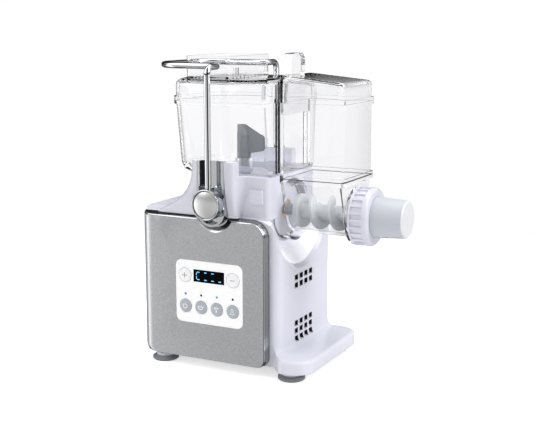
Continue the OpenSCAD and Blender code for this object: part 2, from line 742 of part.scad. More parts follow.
// Outline of the panel at one depth, its left edge turned back round the body
module panel_slab(depth) {
    s = rim_inset(depth);
    left = panel_turn_r * (1 - sin(acos(1 - depth / panel_turn_r)));
    along_y(panel_y + depth, panel_y + depth + 0.2) polygon(round_rect(panel_x0 + left, panel_z0 + s * 0.3,
        panel_x1 - s, panel_z1 - s, [panel_corner_r - 4, panel_corner_r - s,
        right_corner_r - panel_corner_inset - s, 3]));
}
module panel_outer() {
    hull() {
        for (a = [15:15:90]) panel_slab(panel_turn_r * (1 - cos(a)));
        for (depth = [0, 0.3, 1, rim_back]) panel_slab(depth);
    }
}
module plate_outline(i = 0) {
    polygon(round_rect(plate_x - plate_w / 2 - i, plate_z - plate_h / 2 - i, plate_x + plate_w / 2 + i,
        plate_z + plate_h / 2 + i, [plate_r, plate_r, plate_r, plate_r]));
}
module front_panel() {
    color("#a3a5a8") difference() {
        panel_outer();
        // The body, which the panel lies on and wraps round at its left edge
        intersection() {
            translate([0, 0, panel_z0 - 1]) linear_extrude(panel_z1 - panel_z0 + 2) polygon(round_rect(
                body_l, -front_reach, body_r + 50, 0, [upright_r, 0.1, 0.1, 0.1]));
            union() {
                along_y(-front_reach - 1, step_y + 1) field_outline(-fit / 2);
                block([body_l - 1, step_y, panel_z0 - 1], [body_r, step_y + 60, panel_z1 + 1]);
            }
        }
        along_y(panel_y - 1, -front_reach + 1) plate_outline(0.15);
        translate([mix_x, panel_y, guide_z + 1]) rotate([-90, 0, 0])
            cylinder(h = panel_t + 0.1, r1 = notch_r, r2 = notch_r - notch_slope);
        rod_y(panel_y - 1, panel_y + 0.1, notch_r, mix_x, guide_z + 1);
        rod_y(panel_y, step_y + 1, notch_r - notch_slope, mix_x, guide_z + 1);
    }
}
module control_plate() {
    color("white") difference() {
        along_y(plate_front, plate_back) plate_outline();
        for (p = key_places) rod_y(plate_front - 1, plate_back + 1, key_r + hole_gap, p[0], p[1]);
        for (x = keys_x) rod_y(plate_front - 1, plate_back + 1, 1.15, x, plate_z - dot_drop);
        display_opening(display_w, display_h, plate_front - 1, plate_front + 1.6);
        display_opening(display_w - 4, display_h - 3, plate_front - 1, plate_back + 1);
    }
}
module display_window() {
    color("#0b0c10") display_opening(display_w - 0.1, display_h - 0.1, plate_front - 0.05, plate_front + 1.6);
}
module display_module() {
    color("#20242a") {
        display_opening(display_w - 5, display_h - 4, plate_back - 0.8, plate_back + 0.1);
        display_opening(display_w - 2, display_h + 1, plate_back + 0.1, board_y);
    }
}
module light_pipes() {
    color("#3b62e8") for (x = keys_x) {
        rod_y(plate_front - 0.15, plate_back + 0.1, 1.1, x, plate_z - dot_drop);
        rod_y(plate_back + 0.1, plate_back + 1.1, 2, x, plate_z - dot_drop);
        rod_y(plate_back + 1, board_y, 1.1, x, plate_z - dot_drop);
    }
}
module control_board() {
    color("#2f6b45") difference() {
        block([plate_x - plate_w / 2, board_y, plate_z - plate_h / 2 + 0.4],
            [plate_x + plate_w / 2, board_y + board_t, plate_z + plate_h / 2 - 0.4]);
        for (p = board_posts) rod_y(board_y - 1, board_y + board_t + 1, 1.5, p[0], p[1]);
    }
}
switch_tip = board_y - 4.2;
module tact_switches() {
    color("#303236") for (p = key_places) {
        block([p[0] - 3, board_y - 3.6, p[1] - 3], [p[0] + 3, board_y, p[1] + 3]);
        rod_y(switch_tip, board_y - 3.5, 1.7, p[0], p[1]);
    }
}
module board_screws() {
    color("#b9bcc0") for (p = board_posts) {
        rod_y(board_y + board_t, board_y + board_t + 1.8, 2.6, p[0], p[1]);
        rod_y(board_y, board_y + board_t + 0.1, 1.45, p[0], p[1]);
    }
}
// Domed key: cap, flange behind the plate, and stem to its switch
module key(p) {
    translate([p[0], 0, p[1]]) rotate([-90, 0, 0]) {
        translate([0, 0, plate_front - 1.3]) rotate_extrude() polygon(concat([[0, 0]],
            [for (k = [1:6]) [key_r * sin(15 * k), 1.1 * (1 - cos(15 * k))]],
            [[key_r, plate_back - plate_front + 1.5], [0, plate_back - plate_front + 1.5]]));
        translate([0, 0, plate_back + 0.15]) cylinder(h = key_flange_t, r = key_r + 0.9);
        translate([0, 0, plate_back + 0.15 + key_flange_t - 0.1])
            cylinder(h = switch_tip - key_travel - 0.15 - plate_back - 0.05 - key_flange_t, r = 2);
    }
}
module plus_button() { color("white") key(key_places[4]); }
module minus_button() { color("white") key(key_places[5]); }
module power_button() { color("#a9b0b8") key(key_places[0]); }
module knead_button() { color("#a9b0b8") key(key_places[1]); }
module mix_button() { color("#a9b0b8") key(key_places[2]); }
module extrude_button() { color("#a9b0b8") key(key_places[3]); }
module power_board() {
    color("#2f6b45") {
        block([power_x0, power_y, power_z0], [power_x1, power_y + board_t, power_z1]);
        block([power_x0 + 10, power_y - 11, power_z0 + 12], [power_x0 + 36, power_y, power_z0 + 38]);
        rod_y(power_y - 10, power_y, 7, power_x0 + 50, power_z0 + 26);
        block([power_x1 - 40, power_y - 8, power_z0 + 16], [power_x1 - 18, power_y, power_z0 + 32]);
    }
}
module lock_switch() {
    y0 = -block_half + wall + 1;
    color("#303236") {
        block([mix_x + 11.5, y0, pivot_z - 5], [mix_x + 31.5, y0 + 6.4, pivot_z + 5]);
        block([mix_x + 14, y0 + 1.5, pivot_z + 5], [mix_x + 17, y0 + 4.5, pivot_z + 6.4]);
    }
}
module cord_gland() {
    color("#50545a") difference() {
        union() {
            rod_y(back_reach - wall - 4, back_reach + 2, gland_r - 0.1, gland_x, gland_z);
            rod_y(back_reach, back_reach + 2, gland_r + 2.5, gland_x, gland_z);
            rod_y(back_reach - wall - 4, back_reach - wall, gland_r + 2, gland_x, gland_z);
        }
        rod_y(back_reach - wall - 5, back_reach + 3, gland_bore_r, gland_x, gland_z);
    }
}

// ---- bail ----

module bail_guide() {
    color("#c9ccd0") difference() {
        along_y(-pillar_reach, -pin_y - 0.05) guide_outline(guide_half + guide_wall, pillar_top);
        along_y(-pillar_reach - 1, -pin_y - 1.6) guide_outline(guide_half, pillar_top + 1);
        rod_y(-pin_y - 3, -pin_y + 1, pin_r + fit, mix_x, pivot_z);
    }
}
module bail_guide_front() { bail_guide(); }
module bail_guide_rear() { mirror([0, 1, 0]) bail_guide(); }
// Quarter of a ring of wire that starts at the origin along +X and turns to +Y
module wire_bend(r, angle = 90) {
    translate([0, r, 0]) rotate([0, 0, -90])
        rotate_extrude(angle = angle) translate([r, 0]) circle(d = wire_d);
}
loop_x = mix_x - loop_reach;
module half_bail() {
    r = wire_d / 2;
    rod_z(pivot_z + knob_r - 6, bail_top - bend_r, r, mix_x, -leg_y);
    translate([mix_x, -leg_y, bail_top - bend_r]) rotate([0, -90, 0]) wire_bend(bend_r);
    rod_y(-leg_y + bend_r, -loop_y - bend_r, r, mix_x, bail_top);
    translate([mix_x, -loop_y - bend_r, bail_top]) rotate([0, 0, 90]) wire_bend(bend_r);
    rod_x(loop_x + loop_r, mix_x - bend_r, r, -loop_y, bail_top);
    translate([loop_x + loop_r, -loop_y, bail_top]) rotate([0, 0, 180]) mirror([0, 1, 0]) wire_bend(loop_r);
    rod_y(-loop_y + loop_r, 0.01, r, loop_x, bail_top);
}
module bail_wire() {
    color("#d2d4d7") front_and_rear() half_bail();
}
face_r = knob_r - 1.6;
module bail_knob() {
    color("#c4c7cb") translate([mix_x, 0, pivot_z]) rotate([90, 0, 0]) difference() {
        translate([0, 0, knob_in]) rotate_extrude() polygon([[0, 0], [knob_r - 0.8, 0], [knob_r, 0.8],
            [knob_r, knob_t - 1], [knob_r - 1, knob_t], [face_r, knob_t],
            [face_r, knob_t - 1.2], [0, knob_t - 1.2]]);
        translate([0, knob_r - 6, leg_y]) rotate([-90, 0, 0]) cylinder(h = 20, d = wire_d + 0.04);
    }
}
module bail_knob_front() { bail_knob(); }
module bail_knob_rear() { mirror([0, 1, 0]) bail_knob(); }
module knob_faces() {
    color("#dfe1e4") front_and_rear() translate([mix_x, 0, pivot_z]) rotate([90, 0, 0])
        translate([0, 0, knob_out - 1.2]) rotate_extrude()
            polygon([[0, 0], [face_r - 0.05, 0], [face_r - 0.05, 0.9], [face_r - 4, 1.2], [0, 1.35]]);
}
module bail_pins() {
    color("#8f9bb0") front_and_rear() {
        rod_y(-knob_in, -pin_y - 1.9, guide_half - 0.6, mix_x, pivot_z);
        rod_y(-pin_y - 2, -block_half + wall + 2, pin_r, mix_x, pivot_z);
        rod_y(-block_half + wall + 1 + fit, -block_half + wall + 3, pin_r + 3, mix_x, pivot_z);
    }
}

// ---- clear container ----

bowl_x0 = mix_x - bowl_left;
// Plan of the bowl, i inside its rim
function bowl_plan(i) = round_rect(bowl_x0 + i, -bowl_half + i, bowl_right, bowl_half - i,
    [bowl_r - i, 4, 4, bowl_r - i]);
function bowl_plan_in(i, w) = round_rect(bowl_x0 + i + w, -bowl_half + i + w, bowl_right - w,
    bowl_half - i - w, [bowl_r - i - w, 2, 2, bowl_r - i - w]);
module mixing_bowl() {
    color("#dfe9ee", 0.35) difference() {
        union() {
            difference() {
                union() {
                    hull() {
                        slab(rim_z - 0.2, 0.2, bowl_plan(0));
                        slab(deck_z + 9, 0.2, bowl_plan(bowl_draft));
                        slab(deck_z + 3, 0.2, bowl_plan(bowl_draft + 2.5));
                        slab(deck_z, 0.2, bowl_plan(bowl_draft + 8));
                    }
                    slab(rim_z - rim_t, rim_t, bowl_plan(-rim_w));
                }
                hull() {
                    slab(rim_z, 0.5, bowl_plan_in(0, clear_wall));
                    slab(deck_z + 10, 0.2, bowl_plan_in(bowl_draft, clear_wall));
                    slab(deck_z + clear_wall, 0.2, bowl_plan_in(bowl_draft + 7, clear_wall));
                }
            }
            rod_z(deck_z, deck_z + boss_h, boss_r);
        }
        rod_z(deck_z - 1, deck_z + boss_h + 1, shaft_r + fit);
        // Passage to the hopper, which the gate closes
        block([bowl_right - clear_wall - 1, -gate_half + 4, deck_z + 6],
            [bowl_right + 1, gate_half - 4, rim_z - 12]);
    }
}
function box_plan(x0, x1, half, r) = round_rect(x0, -half, x1, half, [1.5, r, r, 1.5]);
module hopper() {
    w = clear_wall;
    color("#dfe9ee", 0.35) difference() {
        union() {
            slab(seam_z, rim_z - seam_z, box_plan(hopper_x, hopper_end, hopper_half, 4));
            slab(rim_z - rim_t, rim_t, box_plan(hopper_x, hopper_end + rim_w, hopper_half + rim_w, 5));
            slab(seam_z, rim_t, box_plan(hopper_x + 1, hopper_end + rim_w, hopper_half + rim_w, 5));
            // Guides on both edges of the gate
            front_and_rear()
                block([bowl_right, gate_half + fit, deck_z + 2], [hopper_x + 1, hopper_half, rim_z]);
        }
        slab(seam_z - 1, rim_z - seam_z + 2, box_plan(hopper_x + w, hopper_end - w, hopper_half - w, 2));
        block([hopper_x - 1, -gate_half + 4, deck_z + 6], [hopper_x + w + 1, gate_half - 4, rim_z - 12]);
    }
}
module trough_body(i) {
    hull() {
        rod_x(trough_x + i, trough_end - i, trough_r - i, 0, trough_z);
        block([trough_x + i, -hopper_half + 0.5 + i, seam_z - 4],
            [trough_end - i, hopper_half - 0.5 - i, seam_z]);
    }
}
bore_r = auger_r + 0.6;
module trough() {
    w = clear_wall;
    color("#dfe9ee", 0.35) difference() {
        union() {
            difference() {
                union() {
                    trough_body(0);
                    slab(seam_z - rim_t, rim_t,
                        box_plan(hopper_x + 1, hopper_end + rim_w, hopper_half + rim_w, 5));
                }
                trough_body(w);
                block([trough_x + w, -hopper_half + w, seam_z - 5],
                    [hopper_end - w, hopper_half - w, seam_z + 1]);
            }
            rod_x(trough_end, trough_end + 3 - fit, nut_r - 0.6);
            rod_x(trough_end - 3, neck_end, neck_thread_r);
            rod_x(drum_x, trough_x + 1, drum_r - 2);
        }
        rod_x(trough_end - 4, neck_end + 1, bore_r);
        rod_x(drum_x - 1, trough_x, drum_r - 5);
        rod_x(trough_x - 1, trough_x + w + 1, shaft_r + fit);
        rod_x(trough_x + w, trough_end, bore_r);
    }
}

// ---- lid ----

lid_w = clear_wall;
module lid_bowl_shape(i) {
    hull() {
        slab(lid_z - (i > 0 ? 1 : 0), 0.2, round_rect(
            bowl_x0 + i, -bowl_half + i, bowl_right - i, bowl_half - i, [bowl_r - i, 3, 3, bowl_r - i]));
        for (k = [0:30:90]) slab(lid_top - 6 + (6 - i) * sin(k) - 0.2, 0.2, round_rect(
            bowl_x0 + i + 1 + 6 * (1 - cos(k)), -bowl_half + i + 1 + 6 * (1 - cos(k)), bowl_right - i,
            bowl_half - i - 1 - 6 * (1 - cos(k)), [bowl_r - i - 4, 3, 3, bowl_r - i - 4]));
    }
}
module lid_hopper_shape(i) {
    top = lid_z + hopper_lid_h - i;
    hull() {
        slab(lid_z - (i > 0 ? 1 : 0), 0.2, box_plan(hopper_x + i, hopper_end - i, hopper_half - i, 4));
        for (k = [0:30:90]) {
            inset = i + 4 * (1 - cos(k));
            drop = 4 * (1 - sin(k));
            slab(top - hopper_lid_fall - drop - 0.2, 0.2,
                box_plan(hopper_end - 12, hopper_end - inset, hopper_half - inset, 4));
            slab(top - drop - 0.2, 0.2, box_plan(hopper_x + i, hopper_x + i + 4, hopper_half - inset, 1.6));
        }
    }
}
funnel_x1 = mix_x + funnel_shift;
funnel_x0 = funnel_x1 - funnel_l;
module lid() {
    color("#dfe9ee", 0.35) difference() {
        union() {
            lid_bowl_shape(0);
            lid_hopper_shape(0);
            slab(lid_z, rim_t, bowl_plan(-rim_w));
            slab(lid_z, rim_t, box_plan(bowl_right - 6, hopper_end + rim_w, hopper_half + rim_w, 5));
            block([bowl_right - 1, -hopper_half, lid_z], [hopper_x + 1, hopper_half, lid_top - 4]);
        }
        lid_bowl_shape(lid_w);
        lid_hopper_shape(lid_w);
        block([gate_x - gate_t / 2 - 0.5, -gate_half - 0.5, lid_z - 1],
            [gate_x + gate_t / 2 + 0.5, gate_half + 0.5, lid_top + 20]);
        block([funnel_x0 + 4, -funnel_half + 4, lid_top - 8], [funnel_x1 - 4, funnel_half - 4, lid_top + 1]);
    }
}
module pouring_funnel() {
    w = 2;
    color("#dfe9ee", 0.35) difference() {
        slab(lid_top, funnel_top - lid_top,
            round_rect(funnel_x0, -funnel_half, funnel_x1, funnel_half, [8, 5, 5, 8]));
        slab(lid_top + w, funnel_top - lid_top,
            round_rect(funnel_x0 + w, -funnel_half + w, funnel_x1 - w, funnel_half - w, [6, 3, 3, 6]));
        // Slots that let flour and liquid through the floor
        for (y = [-4.5:1:4.5]) block([funnel_x0 + 7, y * 7.4 - 1.6, lid_top - 1],
            [funnel_x1 - 7, y * 7.4 + 1.6, lid_top + w + 1]);
        // Louvres in the right wall
        front_and_rear() for (k = [0:5]) block([funnel_x1 - w - 1, -funnel_half + 5 + k * 3, lid_top + 3.5],
            [funnel_x1 + 1, -funnel_half + 6.4 + k * 3, lid_top + 10]);
    }
}
gate_bottom = deck_z + 3;
gate_plate_top = lid_z + hopper_lid_h;
module gate() {
    color("#e6eef2", 0.4) {
        block([gate_x - gate_t / 2, -gate_half, gate_bottom],
            [gate_x + gate_t / 2, gate_half, gate_plate_top - 6]);
        block([gate_x - gate_t / 2, -grip_w / 2 + 4, gate_plate_top - 7],
            [gate_x + gate_t / 2, grip_w / 2 - 4, gate_plate_top]);
        along_x(gate_x - grip_l / 2, gate_x + grip_l / 2)
            polygon(round_rect(
                -grip_w / 2, gate_plate_top, grip_w / 2, gate_plate_top + grip_h, [3, 3, 8, 8]));
    }
}

// ---- kneading ----

paddle_z = deck_z + boss_h + 0.5;
module kneading_paddle() {
    hub = 6.8;
    color("#84878a") difference() {
        union() {
            rod_z(paddle_z, paddle_z + 22, hub);
            hull() {
                rod_z(paddle_z + 20, paddle_z + 22, hub);
                translate([mix_x - hub + 1, -2, paddle_z + 22]) cube([6, 4, 10]);
            }
            hull() {
                translate([mix_x - hub + 1, -2.6, paddle_z + 3]) cube([6, 5.2, 29]);
                translate([mix_x + 24, -1.2, paddle_z + 8]) cube([1.4, 2.4, 11]);
            }
        }
        rod_z(paddle_z - 1, paddle_z + 20, shaft_r + running);
    }
}
module knead_shaft() {
    color("#b5b8bc") rod_z(floor_z, paddle_z + 20, shaft_r);
}
module knead_gear() {
    color("#e8e6df") difference() {
        union() {
            translate([mix_x, 0, knead_gear_z]) spur_gear(knead_teeth, gear_t);
            rod_z(knead_gear_z, knead_gear_z + gear_t + 1.5, shaft_r + 5);
        }
        rod_z(knead_gear_z - 1, knead_gear_z + gear_t + 3, shaft_r + running);
        for (a = [0:60:300]) translate([mix_x, 0, knead_gear_z - 1]) rotate([0, 0, a + 30])
            translate([(shaft_r + knead_teeth * gear_module / 2) / 2 + 1, 0, 0])
                cylinder(h = gear_t + 2, r = 6);
    }
}
module knead_bushes() {
    color("#b08d4a") {
        difference() {
            rod_z(floor_z, floor_z + 8, bush_r);
            rod_z(floor_z - 1, floor_z + 9, shaft_r + running);
        }
        difference() {
            rod_z(deck_z - wall - 8, deck_z - 0.4, bush_r);
            rod_z(deck_z - 20, deck_z + 1, shaft_r + running);
        }
        difference() {
            rod_z(deck_z - wall - 8, deck_z - wall, bush_r + 3);
            rod_z(deck_z - 20, deck_z + 1, shaft_r + running);
        }
    }
}
motor_x = mix_x - knead_centre;
module gear_plate() {
    color("#b5b8bc") difference() {
        slab(gear_plate_z, gear_plate_t, round_rect(body_l + 7, -39, mix_x + 47, 39, [5, 5, 5, 5]));
        rod_z(gear_plate_z - 1, gear_plate_z + 5, shaft_r + fit);
        rod_z(gear_plate_z - 1, gear_plate_z + 5, motor_shaft_r + 1, motor_x);
    }
}
module knead_motor() {
    color("#9aa0a6") difference() {
        union() {
            rod_z(knead_motor_z, knead_motor_top, knead_motor_r, motor_x);
            rod_z(knead_motor_top - 0.1, knead_motor_top + 2.5, 8, motor_x);
        }
        rod_z(knead_motor_z - 1, knead_motor_top + 4, motor_shaft_r + running, motor_x);
        for (a = [0:60:300]) translate([motor_x, 0, knead_motor_top - 3]) rotate([0, 0, a])
            translate([knead_motor_r - 8, 0, 0]) cylinder(h = 4, r = 3.5);
    }
}
fan_z = knead_motor_top + 3.4;
module knead_pinion() {
    color("#c9a24d") {
        translate([motor_x, 0, knead_gear_z]) rotate([0, 0, 180 / pinion_teeth + 180])
            spur_gear(pinion_teeth, gear_t);
        rod_z(knead_gear_z, fan_z + 6, motor_shaft_r, motor_x);
    }
}
module cooling_fan() {
    blade_r = knead_motor_r - 4;
    color("#3c4046") difference() {
        union() {
            rod_z(fan_z, fan_z + 5.5, 7, motor_x);
            for (a = [0:45:315]) translate([motor_x, 0, fan_z + 0.5]) rotate([0, 0, a])
                translate([6, 0, 2.2]) rotate([28, 0, 0])
                    translate([0, -4, -0.6]) cube([blade_r - 6, 8, 1.2]);
        }
        rod_z(fan_z - 1, fan_z + 7, motor_shaft_r + running, motor_x);
    }
}

// ---- auger ----

auger_x = trough_x + clear_wall + 1;
auger_end = neck_end - 1;
// Cross-section of the auger: round core with one flight
flight_half = 180 * flight_t / auger_pitch;
core_turn = flight_half + 14;
function auger_section() = concat(
    [for (a = [core_turn:18:360 - core_turn]) [auger_core_r * cos(a), auger_core_r * sin(a)]],
    [for (a = [-flight_half - 10, -flight_half * 0.8])
        let (r = a < -flight_half ? auger_core_r : auger_r - 1) [r * cos(a), r * sin(a)]],
    [for (a = [-flight_half * 0.6, 0, flight_half * 0.6]) [auger_r * cos(a), auger_r * sin(a)]],
    [for (a = [flight_half * 0.8, flight_half + 10])
        let (r = a > flight_half ? auger_core_r : auger_r - 1) [r * cos(a), r * sin(a)]]);
module auger() {
    l = auger_end - auger_x - 4;
    color("#d9dbd8") difference() {
        union() {
            translate([auger_x + 4, 0, auger_z]) rotate([0, 90, 0])
                linear_extrude(height = l - 4, twist = -360 * (l - 4) / auger_pitch, slices = 64, $fn = 20)
                    polygon(auger_section());
            rod_x(auger_x, auger_x + 4.2, auger_r - 0.6);
            translate([auger_end - 4.5, 0, auger_z]) rotate([0, 90, 0])
                cylinder(h = 4.5, r1 = auger_core_r, r2 = 4);
        }
        rod_x(auger_x - 1, auger_x + 14, shaft_r + running);
    }
}
module auger_shaft() {
    color("#b5b8bc") rod_x(bracket_x - 3, auger_x + 14, shaft_r);
}
module auger_gear() {
    color("#e8e6df") difference() {
        union() {
            translate([auger_gear_x, 0, auger_z]) rotate([0, 90, 0]) rotate([0, 0, auger_gear_turn])
                spur_gear(auger_teeth, gear_t);
            rod_x(auger_gear_x - 1.4, auger_gear_x + gear_t + 1.5, shaft_r + 4);
        }
        rod_x(auger_gear_x - 3, auger_gear_x + gear_t + 3, shaft_r + running);
    }
}
// Direction of the pinion as seen in the gear's own plane
auger_gear_turn = atan2(auger_motor_y, auger_drop);
module auger_pinion() {
    color("#c9a24d") {
        translate([auger_gear_x, auger_motor_y, auger_motor_z]) rotate([0, 90, 0])
            rotate([0, 0, auger_gear_turn + 180 + 180 / pinion_teeth]) spur_gear(pinion_teeth, gear_t);
        rod_x(bracket_x - auger_motor_l + 4, auger_gear_x + gear_t,
            motor_shaft_r, auger_motor_y, auger_motor_z);
    }
}
module auger_motor() {
    color("#9aa0a6") difference() {
        rod_x(bracket_x - auger_motor_l, bracket_x, auger_motor_r, auger_motor_y, auger_motor_z);
        rod_x(bracket_x - auger_motor_l + 4, bracket_x + 1, motor_shaft_r + running,
            auger_motor_y, auger_motor_z);
    }
}
module auger_bushes() {
    color("#b08d4a") {
        difference() {
            rod_x(drum_x - 12, drum_x - 0.5, bush_r);
            rod_x(drum_x - 14, drum_x + 1, shaft_r + running);
        }
        difference() {
            rod_x(bracket_x - 0.8, bracket_x + bracket_t, shaft_r + 3);
            rod_x(bracket_x - 4, bracket_x + 5, shaft_r + running);
        }
    }
}
module drive_bracket() {
    color("#b5b8bc") difference() {
        block([bracket_x, -28, auger_motor_z - auger_motor_r],
            [bracket_x + bracket_t, auger_motor_y + auger_motor_r, deck_z - wall]);
        rod_x(bracket_x - 1, bracket_x + 5, shaft_r + 3.05);
        rod_x(bracket_x - 1, bracket_x + 5, motor_shaft_r + 1, auger_motor_y, auger_motor_z);
    }
}

// ---- die ----

module die_cap() {
    x0 = neck_end + fit;
    color("#e3e6ea") difference() {
        union() {
            rod_x(x0, x0 + die_flange_t, neck_thread_r);
            translate([x0, 0, auger_z]) rotate([0, 90, 0]) rotate_extrude() polygon([[0, 0], [cap_r, 0],
                [cap_r, nut_end - x0 + 1], [cap_end_r, cap_end - x0 - 1.2],
                [cap_end_r - 1.2, cap_end - x0], [0, cap_end - x0]]);
        }
        rod_x(x0 - 1, cap_end - 3, cap_end_r - 2.6);
        for (k = [0:outlet_count - 1], a = [-24, 0, 24])
            translate([nut_end + 4 + k * 4.4, 0, auger_z]) rotate([180 + a, 0, 0])
                cylinder(h = cap_r + 4, r = outlet_r);
    }
}
module die_seal() {
    color("#c3c6c8") difference() {
        rod_x(neck_end, neck_end + fit, neck_thread_r - 0.5);
        rod_x(neck_end - 1, neck_end + 2, bore_r + 0.5);
    }
}
module ring_nut() {
    bore = neck_thread_r + 0.4;
    color("#f7f8fa") difference() {
        union() {
            rod_x(nut_x, nut_end - nut_round, nut_r - 1.4);
            rod_x(nut_x, nut_x + 2.2, nut_r);
            translate([nut_end - nut_round - 1, 0, auger_z]) rotate([0, 90, 0]) rotate_extrude()
                polygon(concat([[0, 0], [nut_r, 0]], arc([nut_r - nut_round, 1], nut_round, 0, 90, 5),
                    [[0, nut_round + 1]]));
            for (a = [0:15:345]) translate([0, 0, auger_z]) rotate([a, 0, 0])
                translate([nut_x + 1, -lug_w / 2, 0]) cube([nut_l - nut_round - 1.5, lug_w, nut_r - 0.1]);
        }
        rod_x(nut_x - 1, nut_end - nut_web_t, bore);
        rod_x(nut_x, nut_end + 1, cap_r + fit);
    }
}

housing();
top_cover();
base_plate();
rubber_feet();
foot_screws();
base_screws();
front_panel();
control_plate();
display_window();
display_module();
light_pipes();
control_board();
tact_switches();
board_screws();
power_board();
lock_switch();
cord_gland();
plus_button();
minus_button();
power_button();
knead_button();
mix_button();
extrude_button();
bail_guide_front();
bail_guide_rear();
container_catches();
bail_wire();
bail_knob_front();
bail_knob_rear();
knob_faces();
bail_pins();
mixing_bowl();
hopper();
trough();
lid();
pouring_funnel();
gate();
kneading_paddle();
knead_shaft();
knead_gear();
knead_bushes();
knead_motor();
knead_pinion();
cooling_fan();
gear_plate();
auger();
auger_shaft();
auger_gear();
auger_bushes();
auger_motor();
auger_pinion();
drive_bracket();
die_cap();
die_seal();
ring_nut();
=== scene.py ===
# %% [markdown]
# # An electric pasta maker
# The machine comes from its CAD model as ready parts, each in its right place. Blender gives those
# parts their finishes, welds and smooths the shells, and adds the fine trim: turned knob faces, key
# signs, dots and display segments. Everything is in metres, with +X towards the die, +Y to the back
# and +Z up.

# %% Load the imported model
import json
import math
import bmesh
import bpy
from mathutils import Matrix, Vector


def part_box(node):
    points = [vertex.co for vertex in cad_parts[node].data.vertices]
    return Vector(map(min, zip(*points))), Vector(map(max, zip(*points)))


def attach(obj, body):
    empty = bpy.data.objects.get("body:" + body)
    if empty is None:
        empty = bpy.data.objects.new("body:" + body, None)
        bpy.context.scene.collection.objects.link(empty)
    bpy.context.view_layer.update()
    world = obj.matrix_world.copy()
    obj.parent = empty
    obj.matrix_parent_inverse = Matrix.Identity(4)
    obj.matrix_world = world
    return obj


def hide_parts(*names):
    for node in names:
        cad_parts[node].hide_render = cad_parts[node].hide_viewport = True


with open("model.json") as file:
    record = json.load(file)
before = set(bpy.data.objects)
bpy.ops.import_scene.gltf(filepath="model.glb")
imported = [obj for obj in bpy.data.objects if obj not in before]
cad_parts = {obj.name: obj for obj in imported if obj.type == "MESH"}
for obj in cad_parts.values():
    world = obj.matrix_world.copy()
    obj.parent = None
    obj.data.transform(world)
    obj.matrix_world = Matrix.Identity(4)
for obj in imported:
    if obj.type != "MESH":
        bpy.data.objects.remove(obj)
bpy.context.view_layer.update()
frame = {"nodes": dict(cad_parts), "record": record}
nodes = frame["nodes"]
MM = 0.001

# %% [markdown]
# ## Finding places
# Sizes are read from the CAD nodes, so that nothing drifts when the model changes. `low` and
# `high` give the two corners of a node, and `middle` its centre.

# %% Corners of a node
def low(node):
    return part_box(node)[0]


def high(node):
    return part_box(node)[1]


def middle(node):
    return (low(node) + high(node)) / 2


plate_front = low("control_plate").y
print("key plate front at y =", round(plate_front, 5))

# %% [markdown]
# ## Colours and nodes
# Colours are written as sRGB hex values, as a paint chart gives them. Blender's shaders work in
# linear light, so one function converts them. A second small function adds a shader node, sets it up
# and links it in one call. The last two open and close a material.

# %% Colour and node helpers
def linear(hex_code):
    parts = [int(hex_code[i:i + 2], 16) / 255 for i in (1, 3, 5)]
    return [c / 12.92 if c <= 0.04045 else ((c + 0.055) / 1.055) ** 2.4 for c in parts] + [1.0]


def add(tree, kind, inputs=None, **settings):
    node = tree.nodes.new(kind)
    for name, value in settings.items():
        setattr(node, name, value)
    for socket, value in (inputs or {}).items():
        if isinstance(value, bpy.types.NodeSocket):
            tree.links.new(value, node.inputs[socket])
        else:
            node.inputs[socket].default_value = value
    return node


def start_finish(name):
    finish = bpy.data.materials.new(name)
    finish.use_nodes = True
    finish.node_tree.nodes.clear()
    return finish, finish.node_tree


def end_finish(tree, surface):
    add(tree, "ShaderNodeOutputMaterial", {"Surface": surface})


print("mid grey #808080 is", round(linear("#808080")[0], 3), "in linear light")

# %% [markdown]
# ## Moulded plastic
# The body is injection-moulded ABS with a polished mould face: a slightly cool white with a clear
# gloss. A mould face is never perfectly flat, so a very low ripple about 9 mm wide bends the
# reflections a little, and a fine grain varies the gloss. The ripple could be modelled, but it is
# only hundredths of a millimetre high, so a bump is enough. Moulded edges are never sharp either: a
# bevel in the shading rounds the highlight along every edge, 0.6 mm wide on the big shells.
#
# A faint glow on a few pieces is painted light: it lifts the scoop's hollow, the key plate and the
# white key caps, which the lamps leave darker than the rest of the white body. A faint glow stands
# in for that on the few pieces where it shows, since scattering under the surface would cost far
# more time.

# %% A moulded finish
def moulded_plastic(name, colour, roughness, ripple=0.12, edge=0.6, glow=0.0):
    """A moulded plastic. Edge is the rounding of its edges in millimetres."""
    ripple_wide, grain_wide = 9 * MM, 0.8 * MM
    finish, tree = start_finish(name)
    place = add(tree, "ShaderNodeTexCoord").outputs["Object"]
    wave = add(tree, "ShaderNodeTexNoise", {"Vector": place, "Scale": 1 / ripple_wide, "Detail": 1.0})
    grain = add(tree, "ShaderNodeTexNoise", {"Vector": place, "Scale": 1 / grain_wide, "Detail": 2.0})
    tone = add(tree, "ShaderNodeValToRGB", {"Fac": wave.outputs["Fac"]})
    shade = linear(colour)
    tone.color_ramp.elements[0].color = [c * 0.975 for c in shade[:3]] + [1]
    tone.color_ramp.elements[1].color = shade
    gloss = add(tree, "ShaderNodeMapRange", {
        "Value": grain.outputs["Fac"], "From Min": 0.3, "From Max": 0.7,
        "To Min": roughness * 0.85, "To Max": roughness * 1.15})
    rounded = add(tree, "ShaderNodeBevel", {"Radius": edge * MM}, samples=4)
    bump = add(tree, "ShaderNodeBump", {
        "Height": wave.outputs["Fac"], "Strength": ripple, "Distance": 0.05 * MM,
        "Normal": rounded.outputs[0]})
    # The glow is painted light, an emission in the plastic's own colour
    shader = add(tree, "ShaderNodeBsdfPrincipled", {
        "Base Color": tone.outputs["Color"], "Roughness": gloss.outputs[0], "IOR": 1.53,
        "Emission Color": tone.outputs["Color"], "Emission Strength": glow,
        "Normal": bump.outputs[0]})
    end_finish(tree, shader.outputs[0])
    return finish


# Polished ABS of the body: cool white, with soft but clear reflections
gloss_abs = moulded_plastic("gloss_white_ABS", "#e9eaf5", 0.22)
# The hollow of the scoop is polished further, and its glow is painted light in the shaded hollow
scoop_painted_glow_abs = moulded_plastic("polished_scoop_ABS_painted_glow", "#f1f2f8", 0.15, glow=0.32)
